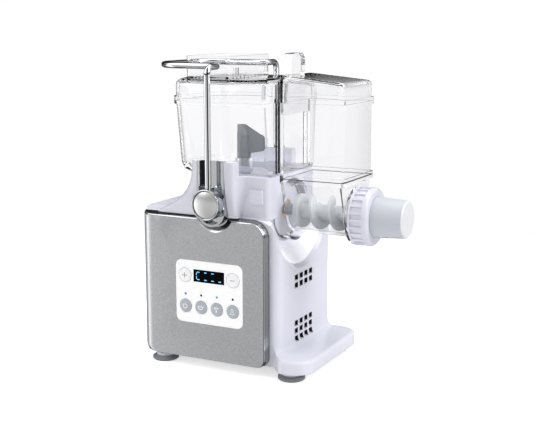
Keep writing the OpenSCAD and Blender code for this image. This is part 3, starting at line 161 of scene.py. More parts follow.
# The underside keeps the dull texture of its mould
satin_abs = moulded_plastic("satin_white_ABS", "#e6e8ee", 0.45)
# Painted shade on the inner faces, never polished and unlit: nearly black, so vents read as holes
shaded_plastic = moulded_plastic("unlit_inside", "#08090b", 0.8)
print("body finishes made")

# %% [markdown]
# ## Plastics of the keys and the small parts
# Keys, die and paddle are moulded in other plastics. They share the body's finish with their own
# colour and gloss: acetal (POM) is waxy and a little dull, glass-filled nylon (PA) is duller still,
# and black PBT is the usual plastic of switches and sockets.

# %% Key and part finishes
# The key plate is the purest white of the machine, and its white caps nearly as bright: both glow with
# painted light
plate_abs = moulded_plastic("key_plate_ABS", "#ffffff", 0.35, edge=0.3, glow=0.17)
key_white = moulded_plastic("white_key_cap", "#fdfdfe", 0.25, edge=0.3, glow=0.10)
key_grey = moulded_plastic("grey_key_cap", "#bfc3cc", 0.28, edge=0.3)
# The die cap's side gets painted shade in a pale grey, and its end, polished a little more, painted
# light
die_side_painted_shade = moulded_plastic("pale_grey_POM_painted_shade", "#d3d7e0", 0.4)
die_end_painted_light = moulded_plastic("polished_die_end_painted_light", "#f4f5f9", 0.3)
# The paddle's blade is dull, and its hub is worn smooth; the hub's paler grey is painted light
paddle_plastic = moulded_plastic("grey_paddle_PA", "#44474a", 0.42)
hub_painted_light_plastic = moulded_plastic("polished_paddle_hub_painted_light", "#777b7f", 0.25)
# Inner parts: ivory gears, a pale auger, blue-grey bosses, black sockets and green boards
gear_plastic = moulded_plastic("natural_POM", "#e4e0d6", 0.45)
auger_plastic = moulded_plastic("auger_POM", "#d9dcdd", 0.4)
boss_plastic = moulded_plastic("blue_grey_PA", "#8b97ad", 0.35)
dark_plastic = moulded_plastic("black_PBT", "#24272b", 0.5)
board_lacquer = moulded_plastic("green_board_lacquer", "#2c6a44", 0.35)
print("moulded finishes made")

# %% [markdown]
# ## Rubber feet
# The feet are moulded thermoplastic rubber: mid grey and dull, with a broad soft highlight and a
# slightly pitted skin. Sheen gives the dusty edge that rubber has.

# %% Grey rubber
pit_wide = 0.9 * MM
foot_rubber, tree = start_finish("grey_TPE_rubber")
place = add(tree, "ShaderNodeTexCoord").outputs["Object"]
speck = add(tree, "ShaderNodeTexNoise", {"Vector": place, "Scale": 1 / pit_wide, "Detail": 3.0})
pitted = add(tree, "ShaderNodeBump", {
    "Height": speck.outputs["Fac"], "Strength": 0.25, "Distance": 0.08 * MM})
shader = add(tree, "ShaderNodeBsdfPrincipled", {
    "Base Color": linear("#8b8f94"), "Roughness": 0.75, "Sheen Weight": 0.2, "IOR": 1.5,
    "Normal": pitted.outputs[0]})
end_finish(tree, shader.outputs[0])
print("rubber made")

# %% [markdown]
# ## Metals
# The bail is stainless wire, bent and then chrome plated, so it mirrors the room. In a full studio
# the flanks of a round wire mirror many dark things. This room is plainer, so the finish itself turns
# darker at a slant: a painted dark reflection. The knob faces are fine-turned steel, bright and satin.
# The front sheet is aluminium with a satin lacquer, and flakes in the lacquer make it sparkle. Inner
# metal parts are plain zinc-plated steel and brass. A haze in the roughness keeps each of them from
# looking like a perfect mirror.

# %% Metal finishes
def metal(name, colour, roughness, grit=0.5, spread=0.15, rim=None, flake=None):
    """A metal. Grit is the size of its haze in millimetres, rim its painted dark reflection at a
    slant.
    """
    # Real flakes are about 0.05 mm wide. They are drawn wider, or the render wouldn't show them.
    flake_wide = 1.1 * MM
    finish, tree = start_finish(name)
    place = add(tree, "ShaderNodeTexCoord").outputs["Object"]
    cloud = add(tree, "ShaderNodeTexNoise", {"Vector": place, "Scale": 1 / (grit * MM), "Detail": 3.0})
    rough = add(tree, "ShaderNodeMapRange", {
        "Value": cloud.outputs["Fac"], "From Min": 0.3, "From Max": 0.7,
        "To Min": roughness * (1 - spread), "To Max": roughness * (1 + spread)})
    inputs = {"Base Color": linear(colour), "Metallic": 1.0, "Roughness": rough.outputs[0]}
    if flake:
        flakes = add(tree, "ShaderNodeTexNoise", {
            "Vector": place, "Scale": 1 / flake_wide, "Detail": 2.0})
        tones = add(tree, "ShaderNodeValToRGB", {"Fac": flakes.outputs["Fac"]})
        for end, (position, shade) in zip(tones.color_ramp.elements, ((0.35, flake), (0.65, colour))):
            end.position, end.color = position, linear(shade)
        inputs["Base Color"] = tones.outputs[0]
    # At a slant the colour turns to rim, a painted dark reflection
    if rim:
        slant = add(tree, "ShaderNodeLayerWeight", {"Blend": 0.5})
        tones = add(tree, "ShaderNodeValToRGB", {"Fac": slant.outputs["Facing"]})
        for end, (position, shade) in zip(tones.color_ramp.elements, ((0.42, colour), (0.75, rim))):
            end.position, end.color = position, linear(shade)
        inputs["Base Color"] = tones.outputs[0]
    shader = add(tree, "ShaderNodeBsdfPrincipled", inputs)
    end_finish(tree, shader.outputs[0])
    return finish


# Bright plating: a sharp mirror, with painted dark reflections on its flanks
chrome = metal("polished_chrome", "#eaecee", 0.06, grit=4.0, spread=0.3, rim="#3c4046")
# Fine-turned steel: an even, pale shine without a mirror image
turned_steel = metal("satin_steel", "#fbfbfc", 0.3, grit=0.6)
# Lacquered sheet: soft grey, with light and dark flakes
satin_sheet = metal(
    "satin_lacquered_aluminium", "#e8eaed", 0.34, grit=0.35, spread=0.10, flake="#d6d8db")
# Inner parts: cool zinc, warm brass and the drawn can of a motor
plated_steel = metal("zinc_plated_steel", "#b9bcc0", 0.35)
machined_brass = metal("machined_brass", "#c9a96a", 0.3)
motor_can = metal("drawn_steel_motor_can", "#a3a8ae", 0.38)
print("metal finishes made")

# %% [markdown]
# ## Polished rim with painted light and shade
# The rim of the front sheet is cut and polished after pressing. Its light and shade are painted in its
# colour: a painted highlight at the face and another where the slope ends, 8 mm further back, with a
# painted dark line beside each. Behind the second highlight the folded wall gets painted shade. The
# lines run round the whole sheet at the same depth, so a ramp along Y draws them all.

# %% Rim finish
slope_deep = 8 * MM
rim_front = low("front_panel").y
rim_painted_lines_finish, tree = start_finish("polished_aluminium_rim_painted_lines")
place = add(tree, "ShaderNodeTexCoord").outputs["Object"]
inward = add(tree, "ShaderNodeSeparateXYZ", {0: place})
depth = add(tree, "ShaderNodeMapRange", {
    "Value": inward.outputs["Y"], "From Min": rim_front, "From Max": rim_front + slope_deep})
lines = add(tree, "ShaderNodeValToRGB", {"Fac": depth.outputs[0]})
front_painted_highlight, back_painted_highlight = lines.color_ramp.elements
front_painted_highlight.color, back_painted_highlight.color = linear("#e4e6e8"), linear("#ffffff")
# Painted highlights, painted dark lines and the painted shade of the folded wall, by depth
for share, shade in ((0.06, "#e4e6e8"), (0.14, "#76797c"), (0.28, "#a4a7aa"), (0.7, "#a4a7aa"),
                     (0.86, "#5a5d60"), (1.0, "#3c3e41")):
    lines.color_ramp.elements.new(share).color = linear(shade)
shader = add(tree, "ShaderNodeBsdfPrincipled", {
    "Base Color": lines.outputs[0], "Metallic": 1.0, "Roughness": 0.2})
end_finish(tree, shader.outputs[0])
print("rim finish from y =", round(rim_front, 4), "to", round(rim_front + slope_deep, 4))

# %% [markdown]
# ## Clear plastic
# Bowl, lid, hopper, trough, funnel and gate are moulded from a clear copolyester, about 2.4 mm thick.
# Its index of refraction is about 1.57. With that, much light is caught inside the walls until its
# bounces run out, and whole edges turn black. So the body of the plastic gets a low index, a clear
# coat with a normal one gives back its gloss, and a ramp on the slant paints the dark line along each
# edge as painted shade, in place of the dark edges that the real bending would draw.
#
# A shadow would come out far too dark, because light can't find its way back through bent glass, so
# lamps see the walls as open.

# %% Clear copolyester
def clear_finish(name, tint, slant_from, slant_shade, ior):
    """A clear plastic. Its colour darkens to slant_shade, painted shade, where its slant passes
    slant_from.
    """
    flow_wide = 25 * MM
    finish, tree = start_finish(name)
    place = add(tree, "ShaderNodeTexCoord").outputs["Object"]
    flow = add(tree, "ShaderNodeTexNoise", {"Vector": place, "Scale": 1 / flow_wide, "Detail": 1.0})
    wavy = add(tree, "ShaderNodeBump", {
        "Height": flow.outputs["Fac"], "Strength": 0.08, "Distance": 0.2 * MM})
    slant = add(tree, "ShaderNodeLayerWeight", {"Blend": 0.5})
    tones = add(tree, "ShaderNodeValToRGB", {"Fac": slant.outputs["Facing"]})
    stops = ((slant_from, tint), (1.0, slant_shade))
    for end, (position, shade) in zip(tones.color_ramp.elements, stops):
        end.position, end.color = position, linear(shade)
    glass = add(tree, "ShaderNodeBsdfPrincipled", {
        "Base Color": tones.outputs["Color"], "Roughness": 0.015, "IOR": ior,
        "Transmission Weight": 1.0, "Coat Weight": 0.8, "Coat Roughness": 0.02, "Coat IOR": 1.45,
        "Normal": wavy.outputs[0]})
    through = add(tree, "ShaderNodeBsdfTransparent", {"Color": linear(tint)})
    lamp = add(tree, "ShaderNodeLightPath")
    mixed = add(tree, "ShaderNodeMixShader", {
        0: lamp.outputs["Is Shadow Ray"], 1: glass.outputs[0], 2: through.outputs[0]})
    end_finish(tree, mixed.outputs[0])
    return finish


# The bowl's round walls have the darkest painted outline, the flat hopper a fainter one
clear_bowl = clear_finish("clear_copolyester_bowl", "#fdfdfe", 0.5, "#020203", 1.09)
clear_walls = clear_finish("clear_copolyester_walls", "#fcfcfd", 0.6, "#08090b", 1.09)
# Lids lie flat, where less light is caught, so they can take more of the real bending
clear_lids = clear_finish("clear_copolyester_lids", "#fdfdfe", 0.78, "#1c1e22", 1.25)
print("clear finishes made")

# %% [markdown]
# ## Display window
# The display is a smoked acrylic window. Acrylic's own index of 1.49 would put a pale reflection of
# the room over it, so a lower one and a dull face keep it black.

# %% Smoked window
smoke_wide = 5 * MM
window_black, tree = start_finish("smoked_window")
place = add(tree, "ShaderNodeTexCoord").outputs["Object"]
smoke = add(tree, "ShaderNodeTexNoise", {"Vector": place, "Scale": 1 / smoke_wide})
tone = add(tree, "ShaderNodeValToRGB", {"Fac": smoke.outputs["Fac"]})
tone.color_ramp.elements[0].color = linear("#030406")
tone.color_ramp.elements[1].color = linear("#07090c")
shader = add(tree, "ShaderNodeBsdfPrincipled", {
    "Base Color": tone.outputs[0], "Roughness": 0.2, "IOR": 1.12})
end_finish(tree, shader.outputs[0])
print("smoked window made")

# %% [markdown]
# ## Lit and printed parts
# Segments and lit dots shine by themselves, so they get emission. Print is ink: flat and slightly
# uneven. The same finish does for both, with the glow turned down, and the faint glow left on the
# white print is painted light.

# %% Lamps and ink
def lamp_finish(name, colour, glow):
    haze_wide = 1.5 * MM
    finish, tree = start_finish(name)
    place = add(tree, "ShaderNodeTexCoord").outputs["Object"]
    haze = add(tree, "ShaderNodeTexNoise", {"Vector": place, "Scale": 1 / haze_wide})
    tone = add(tree, "ShaderNodeValToRGB", {"Fac": haze.outputs["Fac"]})
    tone.color_ramp.elements[0].color = [c * 0.85 for c in linear(colour)[:3]] + [1]
    tone.color_ramp.elements[1].color = linear(colour)
    shader = add(tree, "ShaderNodeBsdfPrincipled", {
        "Base Color": tone.outputs[0], "Roughness": 0.3, "Emission Color": tone.outputs[0],
        "Emission Strength": glow})
    end_finish(tree, shader.outputs[0])
    return finish


segment_blue = lamp_finish("display_segment", "#4fc3ea", 1.3)
dot_blue = lamp_finish("lit_dot", "#3a50ea", 0.9)
dot_cyan = lamp_finish("cyan_dot", "#168fe0", 0.9)
dot_dark = lamp_finish("unlit_dot", "#0c0d10", 0.0)
# The white print's faint glow is painted light
sign_white = lamp_finish("printed_white", "#ffffff", 0.15)
sign_grey = lamp_finish("printed_grey", "#9fa2aa", 0.0)
print("lamp and ink finishes made")

# %% [markdown]
# ## Dressing the CAD nodes
# Each CAD node gets one finish in all of its material slots. The meshes stay as they are.

# %% Finishes by node
dress = {
    gloss_abs: "housing top_cover container_catches ring_nut",
    satin_abs: "base_plate",
    plate_abs: "control_plate",
    foot_rubber: "rubber_feet die_seal",
    satin_sheet: "front_panel",
    window_black: "display_window",
    dark_plastic: "display_module tact_switches lock_switch cord_gland cooling_fan",
    board_lacquer: "control_board power_board",
    key_white: "plus_button minus_button",
    key_grey: "power_button knead_button mix_button extrude_button",
    chrome: "bail_guide_front bail_guide_rear bail_wire bail_knob_front bail_knob_rear",
    turned_steel: "knob_faces",
    boss_plastic: "bail_pins",
    clear_bowl: "mixing_bowl",
    clear_walls: "hopper trough",
    clear_lids: "lid pouring_funnel gate",
    paddle_plastic: "kneading_paddle",
    plated_steel: "foot_screws base_screws board_screws knead_shaft auger_shaft gear_plate"
                  " drive_bracket",
    gear_plastic: "knead_gear auger_gear",
    auger_plastic: "auger",
    machined_brass: "knead_bushes auger_bushes knead_pinion auger_pinion",
    motor_can: "knead_motor auger_motor",
    die_side_painted_shade: "die_cap",
    dot_dark: "light_pipes",
}
for finish, names in dress.items():
    for name in names.split():
        slots = nodes[name].data.materials
        for i in range(max(1, len(slots))):
            if i < len(slots):
                slots[i] = finish
            else:
                slots.append(finish)
dressed = {name for names in dress.values() for name in names.split()}
print("nodes without a finish:", sorted(set(nodes) - dressed))

# %% [markdown]
# ## Making pieces
# A new piece is built in a bmesh, written to a mesh and tied to the body that it moves with. Its
# object stays at the origin, so its place is in its mesh.

# %% Piece helper
# Points closer than this are one point
seam_gap = 0.005 * MM


def make_piece(name, bm, finish, body):
    """Weld a bmesh into a smooth mesh with one finish that rides on a body."""
    bmesh.ops.remove_doubles(bm, verts=bm.verts, dist=seam_gap)
    mesh = bpy.data.meshes.new(name)
    bm.to_mesh(mesh)
    bm.free()
    for polygon in mesh.polygons:
        polygon.use_smooth = True
    mesh.materials.append(finish)
    piece = bpy.data.objects.new(name, mesh)
    bpy.context.scene.collection.objects.link(piece)
    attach(piece, body)
    return piece


record = frame["record"]
bodies = record["behaviour"]["bodies"]
body_of = {node: body for body, held in bodies.items() for node in held}
print("bodies to ride on:", len(bodies))

# %% [markdown]
# ## Welded shells
# Shells and wires keep their CAD shape, but a CAD mesh is loose triangles with one flat normal each,
# which shows facets on every curve. It could be modelled again from nothing, but its shape is already
# right. So a copy is welded, its flat areas are joined again, and every edge flatter than a crease is
# shaded smooth. A creased edge stays sharp, and the finish rounds its highlight.

# %% Welded copies with creases
weld_gap, flat_angle = 0.002 * MM, math.radians(0.4)


def welded(node, finish, crease=35):
    """A smooth-shaded copy of a CAD node. Edges of more than crease degrees stay sharp."""
    bm = bmesh.new()
    bm.from_mesh(nodes[node].data)
    bmesh.ops.remove_doubles(bm, verts=bm.verts, dist=weld_gap)
    bmesh.ops.dissolve_limit(bm, angle_limit=flat_angle, verts=bm.verts, edges=bm.edges)
    for edge in bm.edges:
        edge.smooth = len(edge.link_faces) == 2 and edge.calc_face_angle(0) < math.radians(crease)
    piece = make_piece(node + "_shell", bm, finish, body_of[node])
    if "custom_normal" in piece.data.attributes:
        piece.data.attributes.remove(piece.data.attributes["custom_normal"])
    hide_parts(node)
    return piece


for node in ("housing", "top_cover", "container_catches", "ring_nut"):
    welded(node, gloss_abs)
for node in ("bail_wire", "bail_knob_front", "bail_knob_rear", "bail_guide_front", "bail_guide_rear"):
    welded(node, chrome)
welded("mixing_bowl", clear_bowl)
for node in ("hopper", "trough"):
    welded(node, clear_walls)
for node in ("lid", "pouring_funnel", "gate"):
    welded(node, clear_lids)
print("shells welded")

# %% [markdown]
# ## Painted light and shade on two parts
# The paddle's hub and the end of the die cap are polished a little more than the rest of their
# mouldings and get painted light, a paler copy of the finish, while the side of the die cap keeps a
# grey of painted shade. They are one solid with it, so a second material slot marks them, and no extra
# piece is needed.

# %% Paddle hub and die end
hub_r = 8 * MM
shaft = middle("knead_shaft")
paddle = welded("kneading_paddle", paddle_plastic)
paddle.data.materials.append(hub_painted_light_plastic)
# Faces near the shaft are the hub, which gets the painted light
for polygon in paddle.data.polygons:
    at = polygon.center
    polygon.material_index = int(math.hypot(at.x - shaft.x, at.y - shaft.y) < hub_r)
die = welded("die_cap", die_side_painted_shade)
die.data.materials.append(die_end_painted_light)
# Faces looking along +X are the die's end, with painted light; the side keeps the painted shade
for polygon in die.data.polygons:
    polygon.material_index = int(polygon.normal.x > 0.6)
print("hub faces:", sum(polygon.material_index for polygon in paddle.data.polygons),
      "die end faces:", sum(polygon.material_index for polygon in die.data.polygons))

# %% [markdown]
# ## Turned knob faces
# The face of each bail knob is a satin disc with a low crown, set in a polished round bead. A dark
# ring of painted shade lies in the joint between them and at the bead's foot. All are turned on a
# lathe, so each is a short outline spun round the axis of the bail, as the lathe would cut it.

# %% A turned piece
def turned_piece(name, outline, finish, side):
    """Spin (radius, proud) points in millimetres round the bail's axis.

    Side is -1 for the front knob and 1 for the rear one.
    """
    bm = bmesh.new()
    axis = middle("knob_faces")
    face_y = low("knob_faces").y if side < 0 else high("knob_faces").y
    points = [bm.verts.new((axis.x + r * MM, face_y + side * proud * MM, axis.z))
              for r, proud in outline]
    edges = [bm.edges.new(pair) for pair in zip(points, points[1:])]
    bmesh.ops.spin(bm, geom=points + edges, cent=axis, axis=(0, 1, 0), angle=2 * math.pi,
                   steps=72, use_merge=True)
    # A point on the axis is spun into 72, which this welds to one pole
    bmesh.ops.remove_doubles(bm, verts=bm.verts, dist=seam_gap)
    bmesh.ops.recalc_face_normals(bm, faces=bm.faces)
    return make_piece(name, bm, finish, body_of["knob_faces"])


disc_r = (high("knob_faces").x - low("knob_faces").x) / 2 / MM
knob_r = (high("bail_knob_front").x - low("bail_knob_front").x) / 2 / MM
print("knob face radius:", round(disc_r, 2), "knob radius:", round(knob_r, 2))

# %% Outlines of disc, bead and painted shade lines
# The disc is a parabola 1.8 mm high, of which 0.7 stands proud of the CAD face
crown, crown_proud, crown_steps = 1.8, 0.7, 10
crown_shares = [i / crown_steps for i in range(crown_steps + 1)]
disc_line = [(disc_r * share, crown * (crown_proud - share ** 2)) for share in crown_shares]
# The bead is a slightly flattened half round that fills the knob's rim
bead_r, bead_flat, bead_sunk = (knob_r - disc_r) / 2, 0.75, 0.3
bead_line = [(disc_r + bead_r * (1 - math.cos(turn)), bead_r * bead_flat * math.sin(turn) - bead_sunk)
             for turn in (math.radians(a) for a in range(0, 181, 15))]
joint_shade_line = [(disc_r - 0.35, -0.15), (disc_r + 0.35, -0.15)]
foot_shade_line = [(knob_r - 0.5, 0.05), (knob_r + 0.05, -0.6)]
print("bead radius:", round(bead_r, 2))

# %% Crowned discs and their beads
sides = (("front", -1), ("rear", 1))
discs = [turned_piece(f"knob_disc_{place}", disc_line, turned_steel, side) for place, side in sides]
for place, side in sides:
    turned_piece(f"knob_bead_{place}", bead_line, chrome, side)
    # Dark rings of painted shade in the joint and at the bead's foot
    turned_piece(f"knob_joint_shade_{place}", joint_shade_line, dark_plastic, side)
    turned_piece(f"knob_edge_shade_{place}", foot_shade_line, dark_plastic, side)
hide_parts("knob_faces")
print("turned pieces on each knob:", 4)

# %% [markdown]
# ## Shaded inside of the housing
# The inner faces of the housing get painted shade, a nearly black finish, and so do the upper walls
# of the vents: the slots then read as deep holes. The inner faces are never polished. The scoop under
# the trough is the opposite, a polished hollow with a glow of painted light. All are faces of one
# shell, told apart by where they lie.

# %% Where the inside, the vents and the scoop lie
wall = 2.6 * MM
right_wall_x = 55.6 * MM
front_inside, back_inside = -49 * MM, 54 * MM
vents_half = 40 * MM
# The scoop is round about the die's axis, and its rim is 2 mm wide
scoop_r, scoop_rim_r = 50 * MM, 52 * MM
scoop_from, scoop_to = 20 * MM, 58 * MM
shell_low, shell_high = low("housing"), high("housing")
print("inside from x =", round(shell_low.x + wall, 4), "to", right_wall_x)

# %% Housing faces by place
scoop_axis = middle("die_cap")
inside = bpy.data.objects["housing_shell"]
inside.data.materials.append(shaded_plastic)
inside.data.materials.append(scoop_painted_glow_abs)
for polygon in inside.data.polygons:
    at = polygon.center
    off_axis = math.hypot(at.y - scoop_axis.y, at.z - scoop_axis.z)
    deep = (shell_low.x + wall < at.x < right_wall_x and front_inside < at.y < back_inside
            and at.z < shell_high.z - wall)
    scoop_side = off_axis < scoop_r and at.x > scoop_from
    vent_wall = (at.x > right_wall_x and polygon.normal.y < -0.7 and abs(at.y) < vents_half
                 and off_axis > scoop_rim_r)
    # Index 1 is painted shade on the inside and the vent walls, index 2 the scoop's painted glow
    if (deep and not scoop_side) or vent_wall:
        polygon.material_index = 1
    elif scoop_side and at.x < scoop_to and abs(polygon.normal.x) < 0.9:
        polygon.material_index = 2
kinds = [polygon.material_index for polygon in inside.data.polygons]
print("dark faces inside:", kinds.count(1), "scoop faces:", kinds.count(2))

# %% [markdown]
# ## The silver front
# The front is one pressing of lacquered aluminium. Its left end turns round the body's edge, which is
# where the long bright highlight comes from. Every face that looks right, up or down gets the
# polished rim with its painted lines, and the flat face and the turned left end keep the satin
# lacquer.

# %% The pressing and its polished rim
# A face belongs to the rim where its normal leans by more than about 12 degrees
lean = 0.2
front = welded("front_panel", satin_sheet, crease=24)
front.data.materials.append(rim_painted_lines_finish)
for polygon in front.data.polygons:
    across, _, up = polygon.normal
    polygon.material_index = int(across > lean or abs(up) > lean)
print("rim faces:", sum(polygon.material_index for polygon in front.data.polygons))

# %% [markdown]
# ## Strokes and rings
# Each key carries a printed sign, and the plate has printed rings. A font or an image could draw
# them, but a few strokes need neither. Print has no thickness to speak of, so a stroke is a flat bar
# and a ring is a short line spun about its centre. Both are cut finely enough to follow the dome of a
# key.

# %% Shapes for print
def stroke(bm, x0, z0, x1, z1, wide):
    """A straight bar from one point to another, in millimetres on the key."""
    length = math.hypot(x1 - x0, z1 - z0)
    turn = Matrix.Rotation(math.atan2(z1 - z0, x1 - x0), 4, "Z")
    move = Matrix.Translation(((x0 + x1) / 2, (z0 + z1) / 2, 0))
    size = Matrix.Diagonal((length / 2, wide / 2, 1, 1))
    bmesh.ops.create_grid(bm, x_segments=6, y_segments=2, size=1, matrix=move @ turn @ size)


def ring(bm, x, z, radius, wide, start=0, end=360):
    """A ring or part of one, in millimetres on the key, from one angle to another."""
    steps = max(8, int((end - start) / 12))
    across = math.cos(math.radians(start))
    along = math.sin(math.radians(start))
    first = [bm.verts.new((x + r * across, z + r * along, 0))
             for r in (radius - wide / 2, radius + wide / 2)]
    edge = bm.edges.new(first)
    bmesh.ops.spin(bm, geom=first + [edge], cent=(x, z, 0), axis=(0, 0, 1),
                   angle=math.radians(end - start), steps=steps, use_merge=end - start == 360)


def face_front(bm):
    """Turn every face towards -Y, where the keys look."""
    for face in bm.faces:
        face.normal_update()
        if face.normal.y > 0:
            face.normal_flip()


print("print shapes ready")

# %% [markdown]
# ## Signs on the keys
# The signs are minus and plus beside the display, and below it on and off, kneading, mixing and
# extruding. A key's face is a dome, so each point of a sign sinks back with it, 0.12 mm above the
# plastic.

# %% Print on a dome
dome_r, dome_deep, ink_lift = 6.5, 1.1, 0.12


def print_sign(name, key, body, draw, finish):
    """A sign on a key. Draw gives its shapes, in millimetres from the key's middle."""
    bm = bmesh.new()
    draw(bm)
    at = middle(key)
    top = low(key).y
    for vert in bm.verts:
        x, z = vert.co.x, vert.co.y
        sag = dome_deep * (1 - math.cos(math.asin(min(1, math.hypot(x, z) / dome_r))))
        vert.co = Vector((at.x + x * MM, top + (sag - ink_lift) * MM, at.z + z * MM))
    face_front(bm)
    return make_piece(name, bm, finish, body)


print("dome radius:", dome_r, "depth:", dome_deep)

# %% Signs of the grey keys
thick, thin = 0.75, 0.5


def draw_power(bm):
    ring(bm, 0, 0, 2.2, thick, 125, 415)
    stroke(bm, 0, 0.6, 0, 2.9, thick)


def draw_knead(bm):
    ring(bm, 0, 0.9, 2.6, thick, 180, 360)
    stroke(bm, -3.1, 0.9, 3.1, 0.9, thick)
    for side in (-1, 1):
        stroke(bm, side, 1.7, side, 2.7, thin)


def draw_mix(bm):
    stroke(bm, -2.6, 1.9, 2.6, 1.9, thick)
    for side in (-1, 1):
        stroke(bm, side * 2.4, 1.9, side * 0.7, -0.2, thin)
    stroke(bm, 0, -0.2, 0, -2.6, 1.1)


def draw_extrude(bm):
    ring(bm, 0, 1.5, 1.2, thin)
    for side in (-1, 1):
        stroke(bm, side * 0.8, 0.4, side * 2.4, -2.3, thin)
    stroke(bm, -2.4, -2.3, 2.4, -2.3, thin)


grey_key_signs = {"power": draw_power, "knead": draw_knead, "mix": draw_mix, "extrude": draw_extrude}
for name, draw in grey_key_signs.items():
    print_sign(f"{name}_sign", f"{name}_button", f"{name}_key", draw, sign_white)
print("signs on grey keys:", len(grey_key_signs))

# %% Signs of the white keys
def draw_plus(bm):
    stroke(bm, -2.6, 0, 2.6, 0, 0.7)
    stroke(bm, 0, -2.6, 0, 2.6, 0.6)


def draw_minus(bm):
    stroke(bm, -2.4, 0, 2.4, 0, 0.7)


for name, draw in (("plus", draw_plus), ("minus", draw_minus)):
    print_sign(f"{name}_sign", f"{name}_button", f"{name}_key", draw, sign_grey)
print("signs on white keys: plus and minus")

# %% [markdown]
# ## Rings, dots and display segments
# A thin grey line runs round the plus and minus keys on the plate, and four dots show the running
# step. The display shows four figures of seven segments each, of which only some are lit: the left
# side of the first figure, the top bars of the first three and the bottom bars of all four.

# %% Flat print on the plate
ink_gap = 0.02 * MM
key_ring_r, key_ring_wide = 7.15, 0.35


def flat_print(name, shapes, finish, y):
    """Flat shapes at one depth, drawn in millimetres across and up."""
    bm = bmesh.new()
    shapes(bm)
    for vert in bm.verts:
        vert.co = Vector((vert.co.x * MM, y, vert.co.y * MM))
    face_front(bm)
    return make_piece(name, bm, finish, "base")


def key_rings(bm):
    for key in ("plus_button", "minus_button"):
        ring(bm, middle(key).x / MM, middle(key).z / MM, key_ring_r, key_ring_wide)


flat_print("key_rings", key_rings, sign_grey, plate_front - ink_gap)
print("rings printed")

# %% Lit segments
window_low, window_high = low("display_window"), high("display_window")
figures = 4
figure_step = (window_high.x - window_low.x) / MM / (figures + 0.3)
figure_margin = 3.4
figure_wide, figure_half = 4.0, 3.6
bar_wide, bar_gap = 0.75, 0.6
# An upright bar keeps these distances from the middle and from the corner
middle_gap, corner_gap = 0.5, 0.4


def segments(bm):
    z_mid = middle("display_window").z / MM
    z_top, z_low = z_mid + figure_half, z_mid - figure_half
    for k in range(figures):
        x = window_low.x / MM + figure_margin + k * figure_step
        for z in (z_low, z_top) if k < figures - 1 else (z_low,):
            stroke(bm, x + bar_gap, z, x + figure_wide - bar_gap, z, bar_wide)
        if k == 0:
            stroke(bm, x, z_mid + middle_gap, x, z_top - corner_gap, bar_wide)
            stroke(bm, x, z_mid - middle_gap, x, z_low + corner_gap, bar_wide)


flat_print("lit_segments", segments, segment_blue, window_low.y - ink_gap)
print("segments lit")

# %% Dots above the keys
# A ring nearly as wide as its own diameter leaves no hole to see, so it makes a filled dot.
dot_r, dot_wide = 0.52, 1.0
dot_z = middle("light_pipes").z / MM
dots = {"power": dot_blue, "knead": dot_dark, "mix": dot_cyan, "extrude": dot_dark}
for name, finish in dots.items():
    dot_x = middle(f"{name}_button").x / MM
    flat_print(f"dot_{name}", lambda bm: ring(bm, dot_x, dot_z, dot_r, dot_wide), finish,
               low("light_pipes").y - ink_gap)
print("trim pieces made")

# %% [markdown]
# ## Floor
# The machine stands on white paper that is lit from below, so its shadow stays faint. The paper
# shines for the camera and through clear walls, and nowhere else, or it would light the machine from
# underneath. Gloss doesn't see it at all and mirrors the room instead. It fades out before its edge,
# so that no horizon shows.

# %% White paper
fade_from, fade_to = 0.16, 0.75
clumps_per_metre = 60.0
floor_finish, tree = start_finish("pale_paper")
place = add(tree, "ShaderNodeTexCoord").outputs["Object"]
fibre = add(tree, "ShaderNodeTexNoise", {"Vector": place, "Scale": clumps_per_metre, "Detail": 2.0})
tone = add(tree, "ShaderNodeValToRGB", {"Fac": fibre.outputs["Fac"]})
tone.color_ramp.elements[0].color = linear("#fbfbfb")
tone.color_ramp.elements[1].color = linear("#fefefe")
seen_by = add(tree, "ShaderNodeLightPath")
direct = add(tree, "ShaderNodeMath", {
    0: seen_by.outputs["Is Camera Ray"], 1: seen_by.outputs["Is Transmission Ray"]},
    operation="MAXIMUM")
backlight = add(tree, "ShaderNodeMath", {0: direct.outputs[0], 1: 0.6}, operation="MULTIPLY")
shader = add(tree, "ShaderNodeBsdfPrincipled", {
    "Base Color": tone.outputs[0], "Roughness": 0.8, "Emission Color": tone.outputs[0],
    "Emission Strength": backlight.outputs[0]})
distance = add(tree, "ShaderNodeVectorMath", {0: place}, operation="LENGTH")
fade = add(tree, "ShaderNodeMapRange", {
    "Value": distance.outputs["Value"], "From Min": fade_from, "From Max": fade_to},
    interpolation_type="SMOOTHSTEP")
clear = add(tree, "ShaderNodeBsdfTransparent")
unseen = add(tree, "ShaderNodeMath", {
    0: fade.outputs[0], 1: seen_by.outputs["Is Glossy Ray"]}, operation="MAXIMUM")
faded = add(tree, "ShaderNodeMixShader", {
    0: unseen.outputs[0], 1: shader.outputs[0], 2: clear.outputs[0]})
end_finish(tree, faded.outputs[0])
print("paper fades between", fade_from, "and", fade_to, "m")

# %% Floor
floor_half = 1.6
bm = bmesh.new()
bmesh.ops.create_grid(bm, x_segments=1, y_segments=1, size=floor_half)
floor_mesh = bpy.data.meshes.new("floor")
bm.to_mesh(floor_mesh)
bm.free()
floor_mesh.materials.append(floor_finish)
floor = bpy.data.objects.new("floor", floor_mesh)
bpy.context.scene.collection.objects.link(floor)
print("floor laid")

# %% [markdown]
# ## Lamps
# Three large soft lamps light the dull surfaces: a weak one at the front left, a strong one high at
# the right that lights the side wall and the foot plate, and one from above that fills the bowl. A
# large lamp gives the soft-edged shadows of a studio tent.

# %% Soft lamps
aim_at_body = (0, 0, 0.13)
aim_at_bowl = (0, 0, 0.15)


